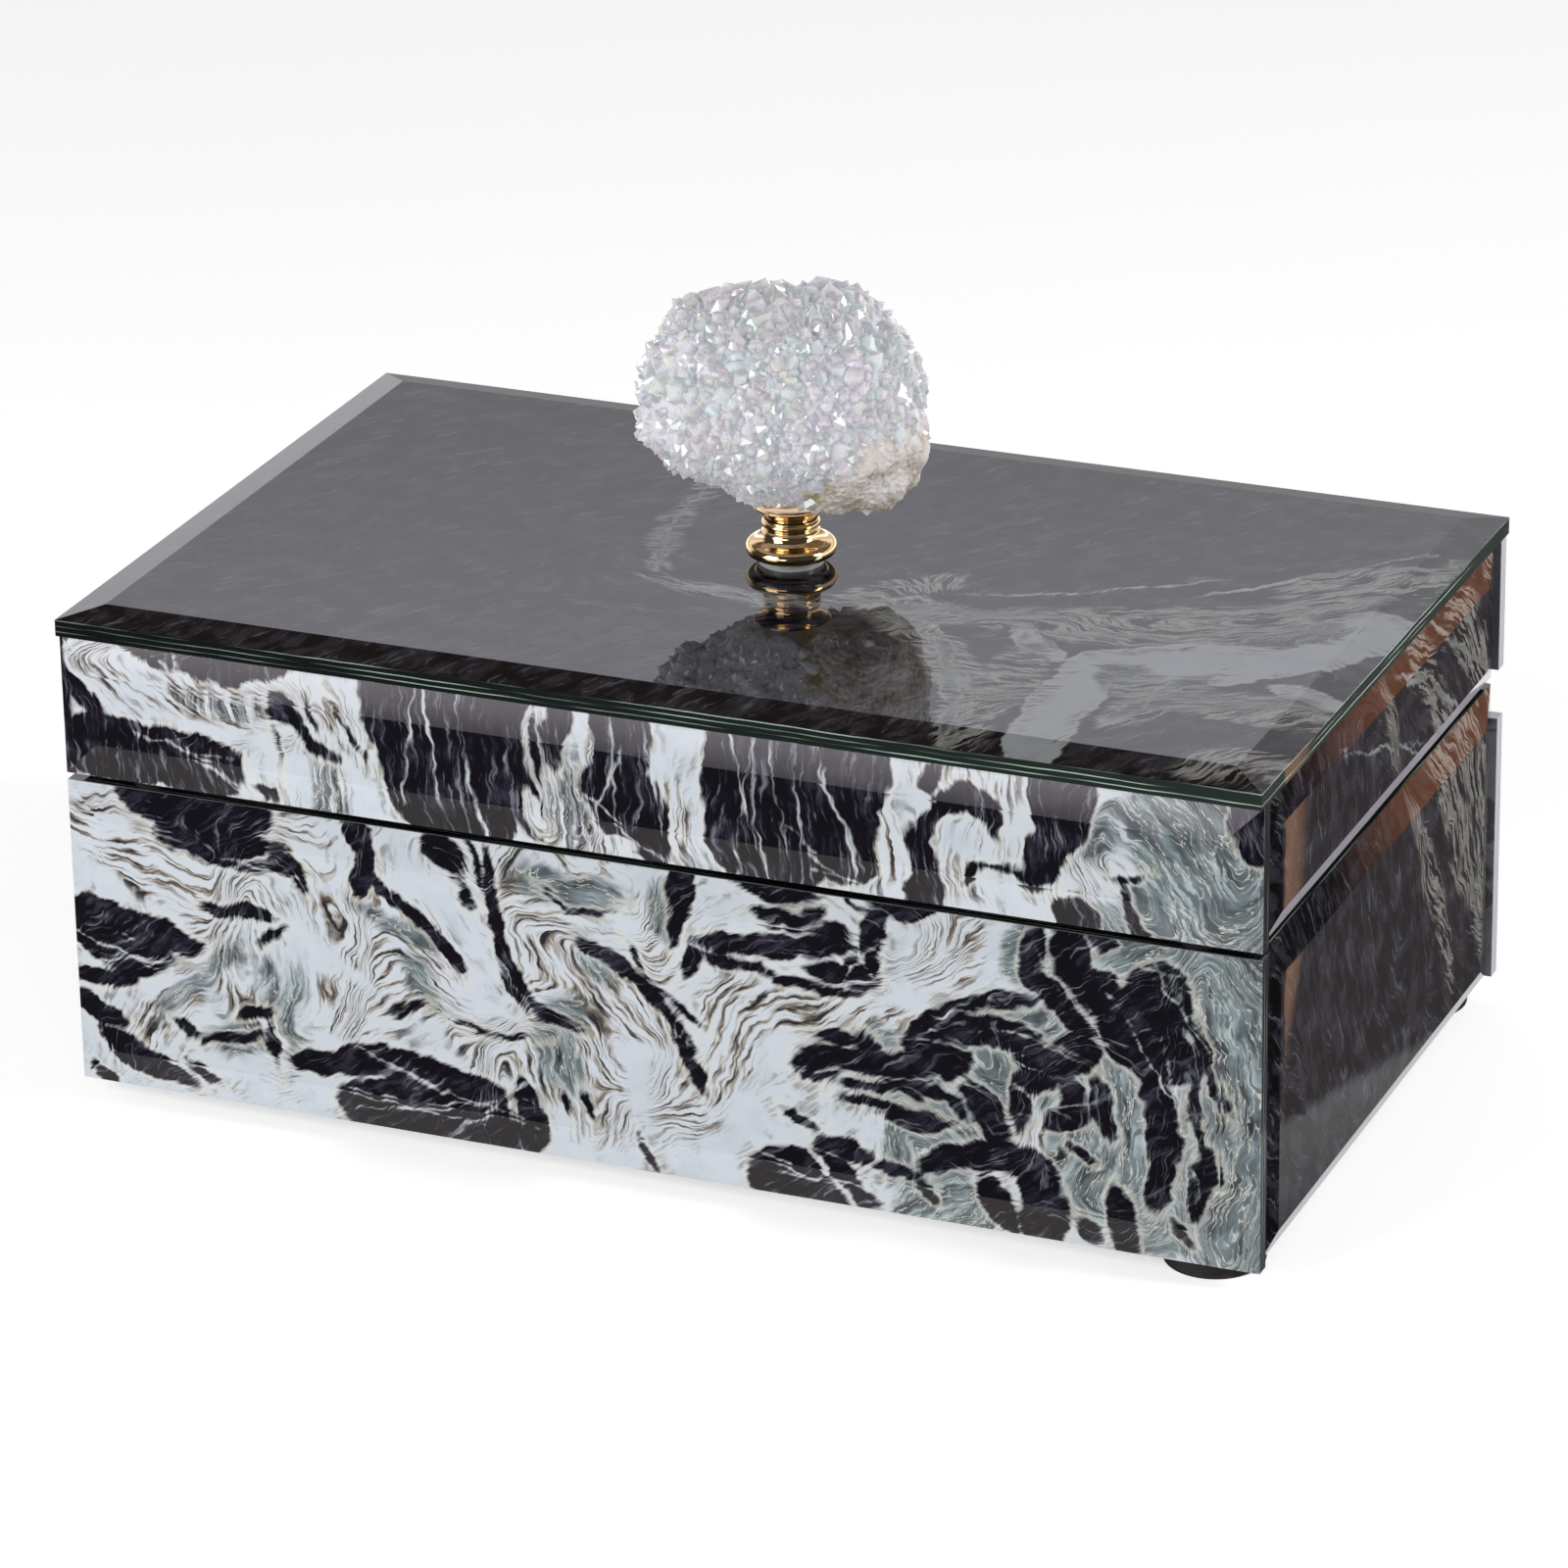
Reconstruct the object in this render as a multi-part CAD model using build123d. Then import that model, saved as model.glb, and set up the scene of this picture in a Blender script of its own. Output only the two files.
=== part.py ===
"""Vanity trinket box: a board carcass clad in bevelled glass, with a hinged lid and a crystal knob.

Units are millimetres.  +Z is up, +X runs along the box's long side and the front faces -Y.
The origin is on the table, in the middle of the box's footprint.
Every separate piece of the real box is its own solid in its own file.
"""
import os
from math import cos, pi, sin, sqrt

from build123d import *

# ---- driving dimensions ------------------------------------------------------------------

BOX_WIDTH = 250.0            # X, over the glass
BOX_DEPTH = 152.0            # Y, over the glass
FOOT_HEIGHT = 4.0            # the feet lift the glass clear of the table
BODY_GLASS_HEIGHT = 65.0
SEAM_GAP = 1.5               # shut line between body and lid
LID_GLASS_HEIGHT = 29.6

GLASS = 5.0                  # glass thickness
BEVEL_WIDTH = 7.5            # ground bevel round the outer face of every panel
BEVEL_DEPTH = 1.6
SIDE_LOWER_BEVEL = 4.2       # the side panels' bevel is narrower and steeper along the bottom
BOARD = 8.0                  # wall boards of body and lid
FLAT_BOARD = 6.0             # the base board and the lid's top board
LINING = 1.5                 # velvet-covered card on the walls
PAD = 2.5                    # velvet-covered wadding on the floor and under the lid
FELT = 1.0                   # sheet under the base

BACK_GLASS_DROP = 7.5        # the body's back glass stops short, to let the lid's glass swing past

FOOT_RADIUS = 10.0
FOOT_INSET = 13.0            # foot centre to the two nearest glass faces
FRONT_LEFT_SETBACK = 10.0    # stuck further in than the others: it doesn't show in the photo
BUMPER_RADIUS = 3.5
BUMPER_INSET = 15.0          # bumper centre to the end face of the box

HINGE_LENGTH = 30.0
HINGE_OFFSET = 72.0          # hinge centre to the middle of the box
LEAF = 0.7                   # leaf thickness
BARREL_RADIUS = 2.0
BARREL_CLEARANCE = 0.3       # barrel to the board and to the other leaf
PIN_RADIUS = 0.9
PIN_CLEARANCE = 0.05         # radial, in the lid leaf's knuckle
OUTER_KNUCKLE = 8.0          # each of the body leaf's two knuckles
KNUCKLE_GAP = 0.2
LID_BACK_GLASS_RISE = 2.4    # hinge axis to the lower edge of the lid's back glass

HINGE_SCREW_RADIUS = 1.0
HINGE_SCREW_HEAD_RADIUS = 1.9
HINGE_SCREW_LENGTH = 7.0
HINGE_SCREW_SPACING = 20.0
HINGE_SCREW_TIP = 1.5
HINGE_SCREW_TIP_RADIUS = 0.15
SCREW_SLOT_LENGTH = 2.6
SCREW_SLOT_WIDTH = 0.5
SCREW_SLOT_DEPTH = 0.3

KNOB_SCREW_RADIUS = 2.0      # M4
KNOB_SCREW_LENGTH = 17.0
KNOB_SCREW_HEAD_RADIUS = 3.5
KNOB_SCREW_HEAD_HEIGHT = 2.4
SCREW_CLEARANCE = 0.2        # radial, in boards and washers
THREAD_CLEARANCE = 0.02
WASHER_RADIUS = 4.5
WASHER_THICKNESS = 0.8
RECESS_RADIUS = 5.0          # counterbore under the lid's top board
GLASS_HOLE_RADIUS = 3.0
CUSHION_WASHER_RADIUS = 6.5  # translucent washer between glass and finial
CUSHION_WASHER_THICKNESS = 1.2

FINIAL_HEIGHT = 11.0
FINIAL_RIM_RADIUS = 7.75
CUP_DEPTH = 1.6
CUP_FLOOR_RADIUS = 5.2

CRYSTAL_HALF_LENGTH = 29.0   # along its own long axis
CRYSTAL_HALF_WIDTH = 24.5
CRYSTAL_HALF_HEIGHT = 23.0
CRYSTAL_TURN = 22.5          # degrees, its long axis about Z
CRYSTAL_SHIFT = -1.5         # its middle, along its long axis, from the knob's axis
CRYSTAL_FACETS = 34
CRYSTAL_LIFT = 0.1           # glue line between the lump and the finial's rim
PLUG_RADIUS = 5.0            # the foot of the crystal that is glued into the finial's cup

# ---- levels and faces worked out from them ----------------------------------------------

HALF_WIDTH = BOX_WIDTH / 2
HALF_DEPTH = BOX_DEPTH / 2
INNER_HALF_WIDTH = HALF_WIDTH - GLASS            # outer faces of the boards
INNER_HALF_DEPTH = HALF_DEPTH - GLASS
CAVITY_HALF_WIDTH = INNER_HALF_WIDTH - BOARD     # inner faces of the boards
CAVITY_HALF_DEPTH = INNER_HALF_DEPTH - BOARD

BODY_BOTTOM = FOOT_HEIGHT
BODY_TOP = BODY_BOTTOM + BODY_GLASS_HEIGHT
LID_BOTTOM = BODY_TOP + SEAM_GAP
LID_TOP = LID_BOTTOM + LID_GLASS_HEIGHT
PLATE_TOP = LID_TOP + GLASS
BASE_BOTTOM = BODY_BOTTOM + FELT
FLOOR = BASE_BOTTOM + FLAT_BOARD
CEILING = LID_TOP - FLAT_BOARD

HINGE_Y = INNER_HALF_DEPTH + BARREL_CLEARANCE + BARREL_RADIUS
HINGE_Z = (BODY_TOP + LID_BOTTOM) / 2
HINGE_CENTRES = {"left": -HINGE_OFFSET, "right": HINGE_OFFSET}
LEAF_FRONT = INNER_HALF_DEPTH - BOARD
LEAF_BACK = HINGE_Y - BARREL_RADIUS - BARREL_CLEARANCE
BODY_LEAF_TOP = BODY_TOP + LEAF
LID_LEAF_BOTTOM = LID_BOTTOM - LEAF

RECESS_DEPTH = KNOB_SCREW_HEAD_HEIGHT + WASHER_THICKNESS
FINIAL_BOTTOM = PLATE_TOP + CUSHION_WASHER_THICKNESS
FINIAL_TOP = FINIAL_BOTTOM + FINIAL_HEIGHT
CUP_FLOOR = FINIAL_TOP - CUP_DEPTH
CRYSTAL_BOTTOM = FINIAL_TOP + CRYSTAL_LIFT
CRYSTAL_MIDDLE = CRYSTAL_BOTTOM + CRYSTAL_HALF_HEIGHT

UPRIGHT = (Align.CENTER, Align.CENTER, Align.MIN)


# ---- building blocks ----------------------------------------------------------------------

def block(x_range, y_range, z_range):
    """A rectangular board between two X, two Y and two Z faces."""
    size = [high - low for low, high in (x_range, y_range, z_range)]
    middle = [(high + low) / 2 for low, high in (x_range, y_range, z_range)]
    return Pos(*middle) * Box(*size)


def bevelled_plate(width, height, lower_bevel=BEVEL_WIDTH):
    """A glass panel lying on its flat face, with the ground bevel round its upper face."""
    edge = GLASS - BEVEL_DEPTH
    slab = Box(width, height, edge, align=UPRIGHT)
    outline = Plane.XY.offset(edge) * Rectangle(width, height)
    flat = Rectangle(width - 2 * BEVEL_WIDTH, height - BEVEL_WIDTH - lower_bevel)
    face = Plane.XY.offset(GLASS) * Pos(0, (lower_bevel - BEVEL_WIDTH) / 2) * flat
    crown = loft([outline.face(), face.face()])
    return slab + crown


def glass_front(bottom, top):
    """The front panel is as wide as the box and covers the ends of the side panels."""
    plane = Plane((0, -INNER_HALF_DEPTH, (bottom + top) / 2), x_dir=(1, 0, 0), z_dir=(0, -1, 0))
    return plane * bevelled_plate(BOX_WIDTH, top - bottom)


def glass_back(bottom, top):
    """The back panel is as wide as the box and covers the ends of the side panels."""
    plane = Plane((0, INNER_HALF_DEPTH, (bottom + top) / 2), x_dir=(-1, 0, 0), z_dir=(0, 1, 0))
    return plane * bevelled_plate(BOX_WIDTH, top - bottom)


def glass_side(side, bottom, top):
    """A side panel stands between the front and back panels; side is -1 on the left."""
    middle = (side * INNER_HALF_WIDTH, 0, (bottom + top) / 2)
    plane = Plane(middle, x_dir=(0, side, 0), z_dir=(side, 0, 0))
    return plane * bevelled_plate(2 * INNER_HALF_DEPTH, top - bottom, SIDE_LOWER_BEVEL)


def wall_boards(bottom, top):
    """Four wall boards: front and back run full length, the sides fit between them."""
    along = (-INNER_HALF_WIDTH, INNER_HALF_WIDTH)
    across = (-CAVITY_HALF_DEPTH, CAVITY_HALF_DEPTH)
    levels = (bottom, top)
    return {
        "front": block(along, (-INNER_HALF_DEPTH, -CAVITY_HALF_DEPTH), levels),
        "back": block(along, (CAVITY_HALF_DEPTH, INNER_HALF_DEPTH), levels),
        "left": block((-INNER_HALF_WIDTH, -CAVITY_HALF_WIDTH), across, levels),
        "right": block((CAVITY_HALF_WIDTH, INNER_HALF_WIDTH), across, levels),
    }


def wall_linings(bottom, top):
    """Four velvet-covered cards on the inner faces of the wall boards."""
    along = (-CAVITY_HALF_WIDTH, CAVITY_HALF_WIDTH)
    across = (-CAVITY_HALF_DEPTH + LINING, CAVITY_HALF_DEPTH - LINING)
    levels = (bottom, top)
    return {
        "front": block(along, (-CAVITY_HALF_DEPTH, -CAVITY_HALF_DEPTH + LINING), levels),
        "back": block(along, (CAVITY_HALF_DEPTH - LINING, CAVITY_HALF_DEPTH), levels),
        "left": block((-CAVITY_HALF_WIDTH, -CAVITY_HALF_WIDTH + LINING), across, levels),
        "right": block((CAVITY_HALF_WIDTH - LINING, CAVITY_HALF_WIDTH), across, levels),
    }


def sheet(half_width, half_depth, bottom, top):
    """A level board or pad, centred on the box."""
    return block((-half_width, half_width), (-half_depth, half_depth), (bottom, top))


def disc(radius, bottom, height, x=0.0, y=0.0):
    """An upright round disc."""
    return Pos(x, y, bottom) * Cylinder(radius, height, align=UPRIGHT)


# ---- feet and bumpers ---------------------------------------------------------------------

def rubber_foot(x, y):
    """A low round foot with a softened lower edge."""
    foot = disc(FOOT_RADIUS, 0, FOOT_HEIGHT)
    lower_edge = foot.edges().group_by(Axis.Z)[0]
    return Pos(x, y, 0) * fillet(lower_edge, 0.8)


def lid_bumpers():
    """Two clear dots on the front corners of the body's rim, which the lid shuts on."""
    y = -(CAVITY_HALF_DEPTH + INNER_HALF_DEPTH) / 2
    x = HALF_WIDTH - BUMPER_INSET
    return [disc(BUMPER_RADIUS, BODY_TOP, SEAM_GAP, side * x, y) for side in (-1, 1)]


# ---- hinges -------------------------------------------------------------------------------

def knuckle(x, length, bore):
    """A tube of the hinge barrel, centred on x along the hinge axis."""
    tube = Cylinder(BARREL_RADIUS, length) - Cylinder(bore, length)
    return Pos(x, HINGE_Y, HINGE_Z) * Rot(0, 90, 0) * tube


def knuckle_spans(x):
    """Centre and length of the two outer knuckles and of the middle one between them."""
    shift = (HINGE_LENGTH - OUTER_KNUCKLE) / 2
    outer = [(x - shift, OUTER_KNUCKLE), (x + shift, OUTER_KNUCKLE)]
    middle = (x, HINGE_LENGTH - 2 * OUTER_KNUCKLE - 2 * KNUCKLE_GAP)
    return outer, middle


def leaf(x, low, high, spans, bore):
    """A hinge leaf between two levels, with its knuckles and the webs that join them."""
    half = HINGE_LENGTH / 2
    plate = block((x - half, x + half), (LEAF_FRONT, LEAF_BACK), (low, high))
    pin_hole = Pos(x, HINGE_Y, HINGE_Z) * Rot(0, 90, 0) * Cylinder(bore, HINGE_LENGTH)
    for centre, length in spans:
        web_x = (centre - length / 2, centre + length / 2)
        web_back = HINGE_Y - sqrt(BARREL_RADIUS ** 2 - LEAF ** 2)
        web = block(web_x, (LEAF_BACK, web_back), (low, high)) - pin_hole
        plate = plate + web + knuckle(centre, length, bore)
    return plate


def screw_places(x):
    """The two screws of a leaf, on the middle line of the board's edge."""
    y = (LEAF_FRONT + INNER_HALF_DEPTH) / 2
    return [(x - HINGE_SCREW_SPACING / 2, y), (x + HINGE_SCREW_SPACING / 2, y)]


def screw_envelope(x, y, head_z, direction):
    """The room a hinge screw takes up; direction is -1 when it is driven down, +1 when up."""
    shank = Cylinder(HINGE_SCREW_RADIUS, HINGE_SCREW_LENGTH, align=UPRIGHT)
    tip = Cone(HINGE_SCREW_RADIUS, HINGE_SCREW_TIP_RADIUS, HINGE_SCREW_TIP, align=UPRIGHT)
    head = Cone(HINGE_SCREW_HEAD_RADIUS, HINGE_SCREW_RADIUS, LEAF, align=UPRIGHT)
    turn = 0 if direction > 0 else 180
    return Pos(x, y, head_z) * Rot(turn, 0, 0) * (shank + Pos(0, 0, HINGE_SCREW_LENGTH) * tip + head)


def countersunk_screw(x, y, head_z, direction):
    """A small slotted wood screw."""
    slot = Box(SCREW_SLOT_LENGTH, SCREW_SLOT_WIDTH, 2 * SCREW_SLOT_DEPTH)
    return screw_envelope(x, y, head_z, direction) - Pos(x, y, head_z) * slot


def body_leaf(x):
    """The leaf screwed to the body's rim, with the two outer knuckles that grip the pin."""
    outer, _ = knuckle_spans(x)
    solid = leaf(x, BODY_TOP, BODY_LEAF_TOP, outer, PIN_RADIUS)
    for place in screw_places(x):
        solid = solid - screw_envelope(*place, BODY_LEAF_TOP, -1)
    return solid


def lid_leaf(x):
    """The leaf screwed to the lid's rim, with the middle knuckle that turns on the pin."""
    _, middle = knuckle_spans(x)
    solid = leaf(x, LID_LEAF_BOTTOM, LID_BOTTOM, [middle], PIN_RADIUS + PIN_CLEARANCE)
    for place in screw_places(x):
        solid = solid - screw_envelope(*place, LID_LEAF_BOTTOM, 1)
    return solid


def hinge_pin(x):
    """The pin runs the whole length of the barrel."""
    return Pos(x, HINGE_Y, HINGE_Z) * Rot(0, 90, 0) * Cylinder(PIN_RADIUS, HINGE_LENGTH)


def hinge_screws(head_z, direction, maker=countersunk_screw):
    """The four screws that hold both hinges to one rim."""
    places = [place for x in HINGE_CENTRES.values() for place in screw_places(x)]
    return [maker(*place, head_z, direction) for place in places]


# ---- knob ---------------------------------------------------------------------------------

def knob_screw():
    """A pan-head screw, driven up through the lid's top board into the finial."""
    head_bottom = CEILING + RECESS_DEPTH - WASHER_THICKNESS - KNOB_SCREW_HEAD_HEIGHT
    head = disc(KNOB_SCREW_HEAD_RADIUS, head_bottom, KNOB_SCREW_HEAD_HEIGHT)
    head = fillet(head.edges().group_by(Axis.Z)[0], 1.0)
    slot = Pos(0, 0, head_bottom) * Box(2 * KNOB_SCREW_HEAD_RADIUS, 1.0, 0.9, align=UPRIGHT)
    shank = disc(KNOB_SCREW_RADIUS, head_bottom + KNOB_SCREW_HEAD_HEIGHT, KNOB_SCREW_LENGTH)
    return head + shank - slot


def ring(outer, inner, bottom, height):
    """A flat washer on the knob's axis."""
    return disc(outer, bottom, height) - disc(inner, bottom, height)


def finial_base():
    """Turned brass finial: rolled foot, cove, bead, neck and a cup for the crystal."""
    bottom = FINIAL_BOTTOM
    with BuildPart() as turned:
        with BuildSketch(Plane.XZ):
            with BuildLine():
                Polyline((0, bottom), (6.7, bottom), (7.4, bottom + 0.6))
                ThreePointArc((7.4, bottom + 0.6), (9.2, bottom + 2.2), (7.9, bottom + 3.5))
                ThreePointArc((7.9, bottom + 3.5), (6.5, bottom + 4.3), (5.9, bottom + 5.7))
                Polyline((5.9, bottom + 5.7), (5.4, bottom + 6.0), (5.4, bottom + 6.4))
                ThreePointArc((5.4, bottom + 6.4), (5.95, bottom + 7.2), (5.4, bottom + 8.0))
                Line((5.4, bottom + 8.0), (5.4, bottom + 8.4))
                ThreePointArc((5.4, bottom + 8.4), (6.2, bottom + 9.7), (FINIAL_RIM_RADIUS, FINIAL_TOP))
                Polyline((FINIAL_RIM_RADIUS, FINIAL_TOP), (FINIAL_RIM_RADIUS - 0.5, FINIAL_TOP),
                         (CUP_FLOOR_RADIUS, CUP_FLOOR), (0, CUP_FLOOR), (0, bottom))
            make_face()
        revolve(axis=Axis.Z)
    threaded_depth = 7.3
    thread = disc(KNOB_SCREW_RADIUS + THREAD_CLEARANCE, bottom, threaded_depth)
    return turned.part - thread


def crystal_direction(index):
    """Evenly spread facet directions, on a spiral from the bottom of a ball to its top."""
    golden_angle = pi * (3 - sqrt(5))
    height = -1 + (2 * index + 1) / CRYSTAL_FACETS
    level_radius = sqrt(1 - height * height)
    turn = golden_angle * index
    return (level_radius * cos(turn), level_radius * sin(turn), height)


def crystal_cluster():
    """A raw quartz cluster: a faceted lump on a short plug that is glued into the cup."""
    halves = (CRYSTAL_HALF_LENGTH, CRYSTAL_HALF_WIDTH, CRYSTAL_HALF_HEIGHT)
    lump = Box(*[2 * half for half in halves])
    for index in range(CRYSTAL_FACETS):
        direction = crystal_direction(index)
        reach = sqrt(sum((half * part) ** 2 for half, part in zip(halves, direction)))
        reach *= 0.97 + 0.03 * cos(5.0 * index)      # uneven facets
        place = tuple(reach * part for part in direction)
        lump = split(lump, bisect_by=Plane(origin=place, z_dir=direction), keep=Keep.BOTTOM)
    turned = Rot(0, 0, CRYSTAL_TURN) * Pos(CRYSTAL_SHIFT, 0, 0) * lump
    plug = disc(PLUG_RADIUS, CUP_FLOOR, CRYSTAL_MIDDLE - CUP_FLOOR)
    return Pos(0, 0, CRYSTAL_MIDDLE) * turned + plug


# ---- the pieces ---------------------------------------------------------------------------

def body_pieces():
    """Everything that stays still: glass, boards, lining, feet and the hinges' body halves."""
    back_top = BODY_TOP - BACK_GLASS_DROP
    pieces = {
        "glass_body_front": glass_front(BODY_BOTTOM, BODY_TOP),
        "glass_body_back": glass_back(BODY_BOTTOM, back_top),
        "glass_body_left": glass_side(-1, BODY_BOTTOM, BODY_TOP),
        "glass_body_right": glass_side(1, BODY_BOTTOM, BODY_TOP),
    }

    for place, board in wall_boards(BASE_BOTTOM, BODY_TOP).items():
        pieces[f"carcass_{place}_board"] = board
    for hole in hinge_screws(BODY_LEAF_TOP, -1, screw_envelope):
        pieces["carcass_back_board"] = pieces["carcass_back_board"] - hole
    pieces["carcass_base_board"] = sheet(CAVITY_HALF_WIDTH, CAVITY_HALF_DEPTH, BASE_BOTTOM, FLOOR)

    for place, card in wall_linings(FLOOR + PAD, BODY_TOP).items():
        pieces[f"lining_body_{place}"] = card
    pieces["lining_floor_pad"] = sheet(CAVITY_HALF_WIDTH, CAVITY_HALF_DEPTH, FLOOR, FLOOR + PAD)
    pieces["base_felt"] = sheet(INNER_HALF_WIDTH, INNER_HALF_DEPTH, BODY_BOTTOM, BASE_BOTTOM)

    foot_x = HALF_WIDTH - FOOT_INSET
    foot_y = HALF_DEPTH - FOOT_INSET
    for end, y_sign in (("front", -1), ("rear", 1)):
        for side, x_sign in (("left", -1), ("right", 1)):
            setback = FRONT_LEFT_SETBACK if (end, side) == ("front", "left") else 0
            pieces[f"foot_{end}_{side}"] = rubber_foot(x_sign * foot_x, y_sign * foot_y + setback)

    pieces["lid_bumpers"] = Compound(children=lid_bumpers())
    for side, x in HINGE_CENTRES.items():
        pieces[f"hinge_{side}_body_leaf"] = body_leaf(x)
        pieces[f"hinge_{side}_pin"] = hinge_pin(x)
    pieces["hinge_screws_body"] = Compound(children=hinge_screws(BODY_LEAF_TOP, -1))
    return pieces


def lid_pieces():
    """Everything that swings with the lid: glass, boards, lining, knob and the lid leaves."""
    hole = disc(GLASS_HOLE_RADIUS, LID_TOP, GLASS)
    pieces = {
        "glass_lid_top": Pos(0, 0, LID_TOP) * bevelled_plate(BOX_WIDTH, BOX_DEPTH) - hole,
        "glass_lid_front": glass_front(LID_BOTTOM, LID_TOP),
        "glass_lid_back": glass_back(HINGE_Z + LID_BACK_GLASS_RISE, LID_TOP),
        "glass_lid_left": glass_side(-1, LID_BOTTOM, LID_TOP),
        "glass_lid_right": glass_side(1, LID_BOTTOM, LID_TOP),
    }

    for place, board in wall_boards(LID_BOTTOM, CEILING).items():
        pieces[f"lid_{place}_board"] = board
    for screw_room in hinge_screws(LID_LEAF_BOTTOM, 1, screw_envelope):
        pieces["lid_back_board"] = pieces["lid_back_board"] - screw_room
    top_board = sheet(INNER_HALF_WIDTH, INNER_HALF_DEPTH, CEILING, LID_TOP)
    recess = disc(RECESS_RADIUS, CEILING, RECESS_DEPTH)
    through = disc(KNOB_SCREW_RADIUS + SCREW_CLEARANCE, CEILING, FLAT_BOARD)
    pieces["lid_top_board"] = top_board - recess - through

    for place, card in wall_linings(LID_BOTTOM, CEILING - PAD).items():
        pieces[f"lining_lid_{place}"] = card
    pieces["lining_lid_pad"] = sheet(CAVITY_HALF_WIDTH, CAVITY_HALF_DEPTH, CEILING - PAD, CEILING)

    for side, x in HINGE_CENTRES.items():
        pieces[f"hinge_{side}_lid_leaf"] = lid_leaf(x)
    pieces["hinge_screws_lid"] = Compound(children=hinge_screws(LID_LEAF_BOTTOM, 1))

    screw_hole = KNOB_SCREW_RADIUS + SCREW_CLEARANCE
    washer_bottom = CEILING + RECESS_DEPTH - WASHER_THICKNESS
    pieces["knob_screw_washer"] = ring(WASHER_RADIUS, screw_hole, washer_bottom, WASHER_THICKNESS)
    pieces["knob_screw"] = knob_screw()
    cushion = ring(CUSHION_WASHER_RADIUS, screw_hole, PLATE_TOP, CUSHION_WASHER_THICKNESS)
    pieces["knob_cushion_washer"] = cushion
    pieces["knob_finial"] = finial_base()
    pieces["knob_crystal"] = crystal_cluster()
    return pieces


def write_pieces(pieces):
    """One STEP file per piece, named after it."""
    os.makedirs("parts", exist_ok=True)
    for name, solid in pieces.items():
        solid.label = name
        export_step(solid, f"parts/{name}.step")


write_pieces({**body_pieces(), **lid_pieces()})
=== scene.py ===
"""The vanity trinket box, dressed: marbled glass, velvet lining, brass hinges and a druzy quartz knob.

Lengths are metres unless a name ends in MM.  The marbling is laid out in millimetres on each face of the box,
measured from the lower left (or front left) corner of the glass.
"""
from math import atan2, cos, degrees, hypot, pi, radians, sin, sqrt
from random import Random

import bpy
import bmesh
from mathutils import Matrix, Vector, noise


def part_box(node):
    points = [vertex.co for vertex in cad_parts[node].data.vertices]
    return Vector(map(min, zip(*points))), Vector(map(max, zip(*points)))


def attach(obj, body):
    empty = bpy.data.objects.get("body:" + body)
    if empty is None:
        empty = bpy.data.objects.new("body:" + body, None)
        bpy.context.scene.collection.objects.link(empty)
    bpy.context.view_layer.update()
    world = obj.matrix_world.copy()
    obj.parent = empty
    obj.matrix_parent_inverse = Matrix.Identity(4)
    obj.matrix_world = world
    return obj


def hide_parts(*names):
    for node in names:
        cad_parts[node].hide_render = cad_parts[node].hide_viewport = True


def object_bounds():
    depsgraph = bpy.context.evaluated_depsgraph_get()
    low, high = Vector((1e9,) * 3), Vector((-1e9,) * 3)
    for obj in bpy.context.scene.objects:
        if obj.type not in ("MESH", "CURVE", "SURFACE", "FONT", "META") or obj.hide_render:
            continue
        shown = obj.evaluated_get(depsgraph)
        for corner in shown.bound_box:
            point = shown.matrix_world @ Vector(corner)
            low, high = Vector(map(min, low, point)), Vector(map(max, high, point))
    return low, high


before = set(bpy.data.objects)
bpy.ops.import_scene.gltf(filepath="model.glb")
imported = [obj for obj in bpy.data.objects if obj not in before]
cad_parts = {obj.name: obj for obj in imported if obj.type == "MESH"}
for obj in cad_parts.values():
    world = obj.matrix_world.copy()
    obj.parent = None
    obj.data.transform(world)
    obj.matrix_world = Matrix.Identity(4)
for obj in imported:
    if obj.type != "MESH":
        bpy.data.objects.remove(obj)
cad_low, cad_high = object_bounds()

MM = 0.001
scene = bpy.context.scene


# ---- camera -------------------------------------------------------------------------------

CAMERA_PLACE = (0.53125, -1.26525, 0.63825)
CAMERA_AZIMUTH = radians(22.87)
CAMERA_ELEVATION = radians(22.96)
CAMERA_ROLL = radians(-0.955)
CAMERA_LENS_MM = 170.1


def make_camera():
    data = bpy.data.cameras.new("camera")
    data.lens = CAMERA_LENS_MM
    data.sensor_width = 36
    data.clip_start = 0.05
    camera = bpy.data.objects.new("camera", data)
    scene.collection.objects.link(camera)
    aim = Matrix.Rotation(CAMERA_AZIMUTH, 4, "Z")
    tilt = Matrix.Rotation(pi / 2 - CAMERA_ELEVATION, 4, "X")
    roll = Matrix.Rotation(CAMERA_ROLL, 4, "Z")
    camera.matrix_world = Matrix.Translation(CAMERA_PLACE) @ aim @ tilt @ roll
    scene.camera = camera


make_camera()
scene.view_settings.view_transform = "Standard"


# ---- shader building ----------------------------------------------------------------------

SCALAR_RESULTS = ("LENGTH", "DOT_PRODUCT", "DISTANCE")


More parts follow.
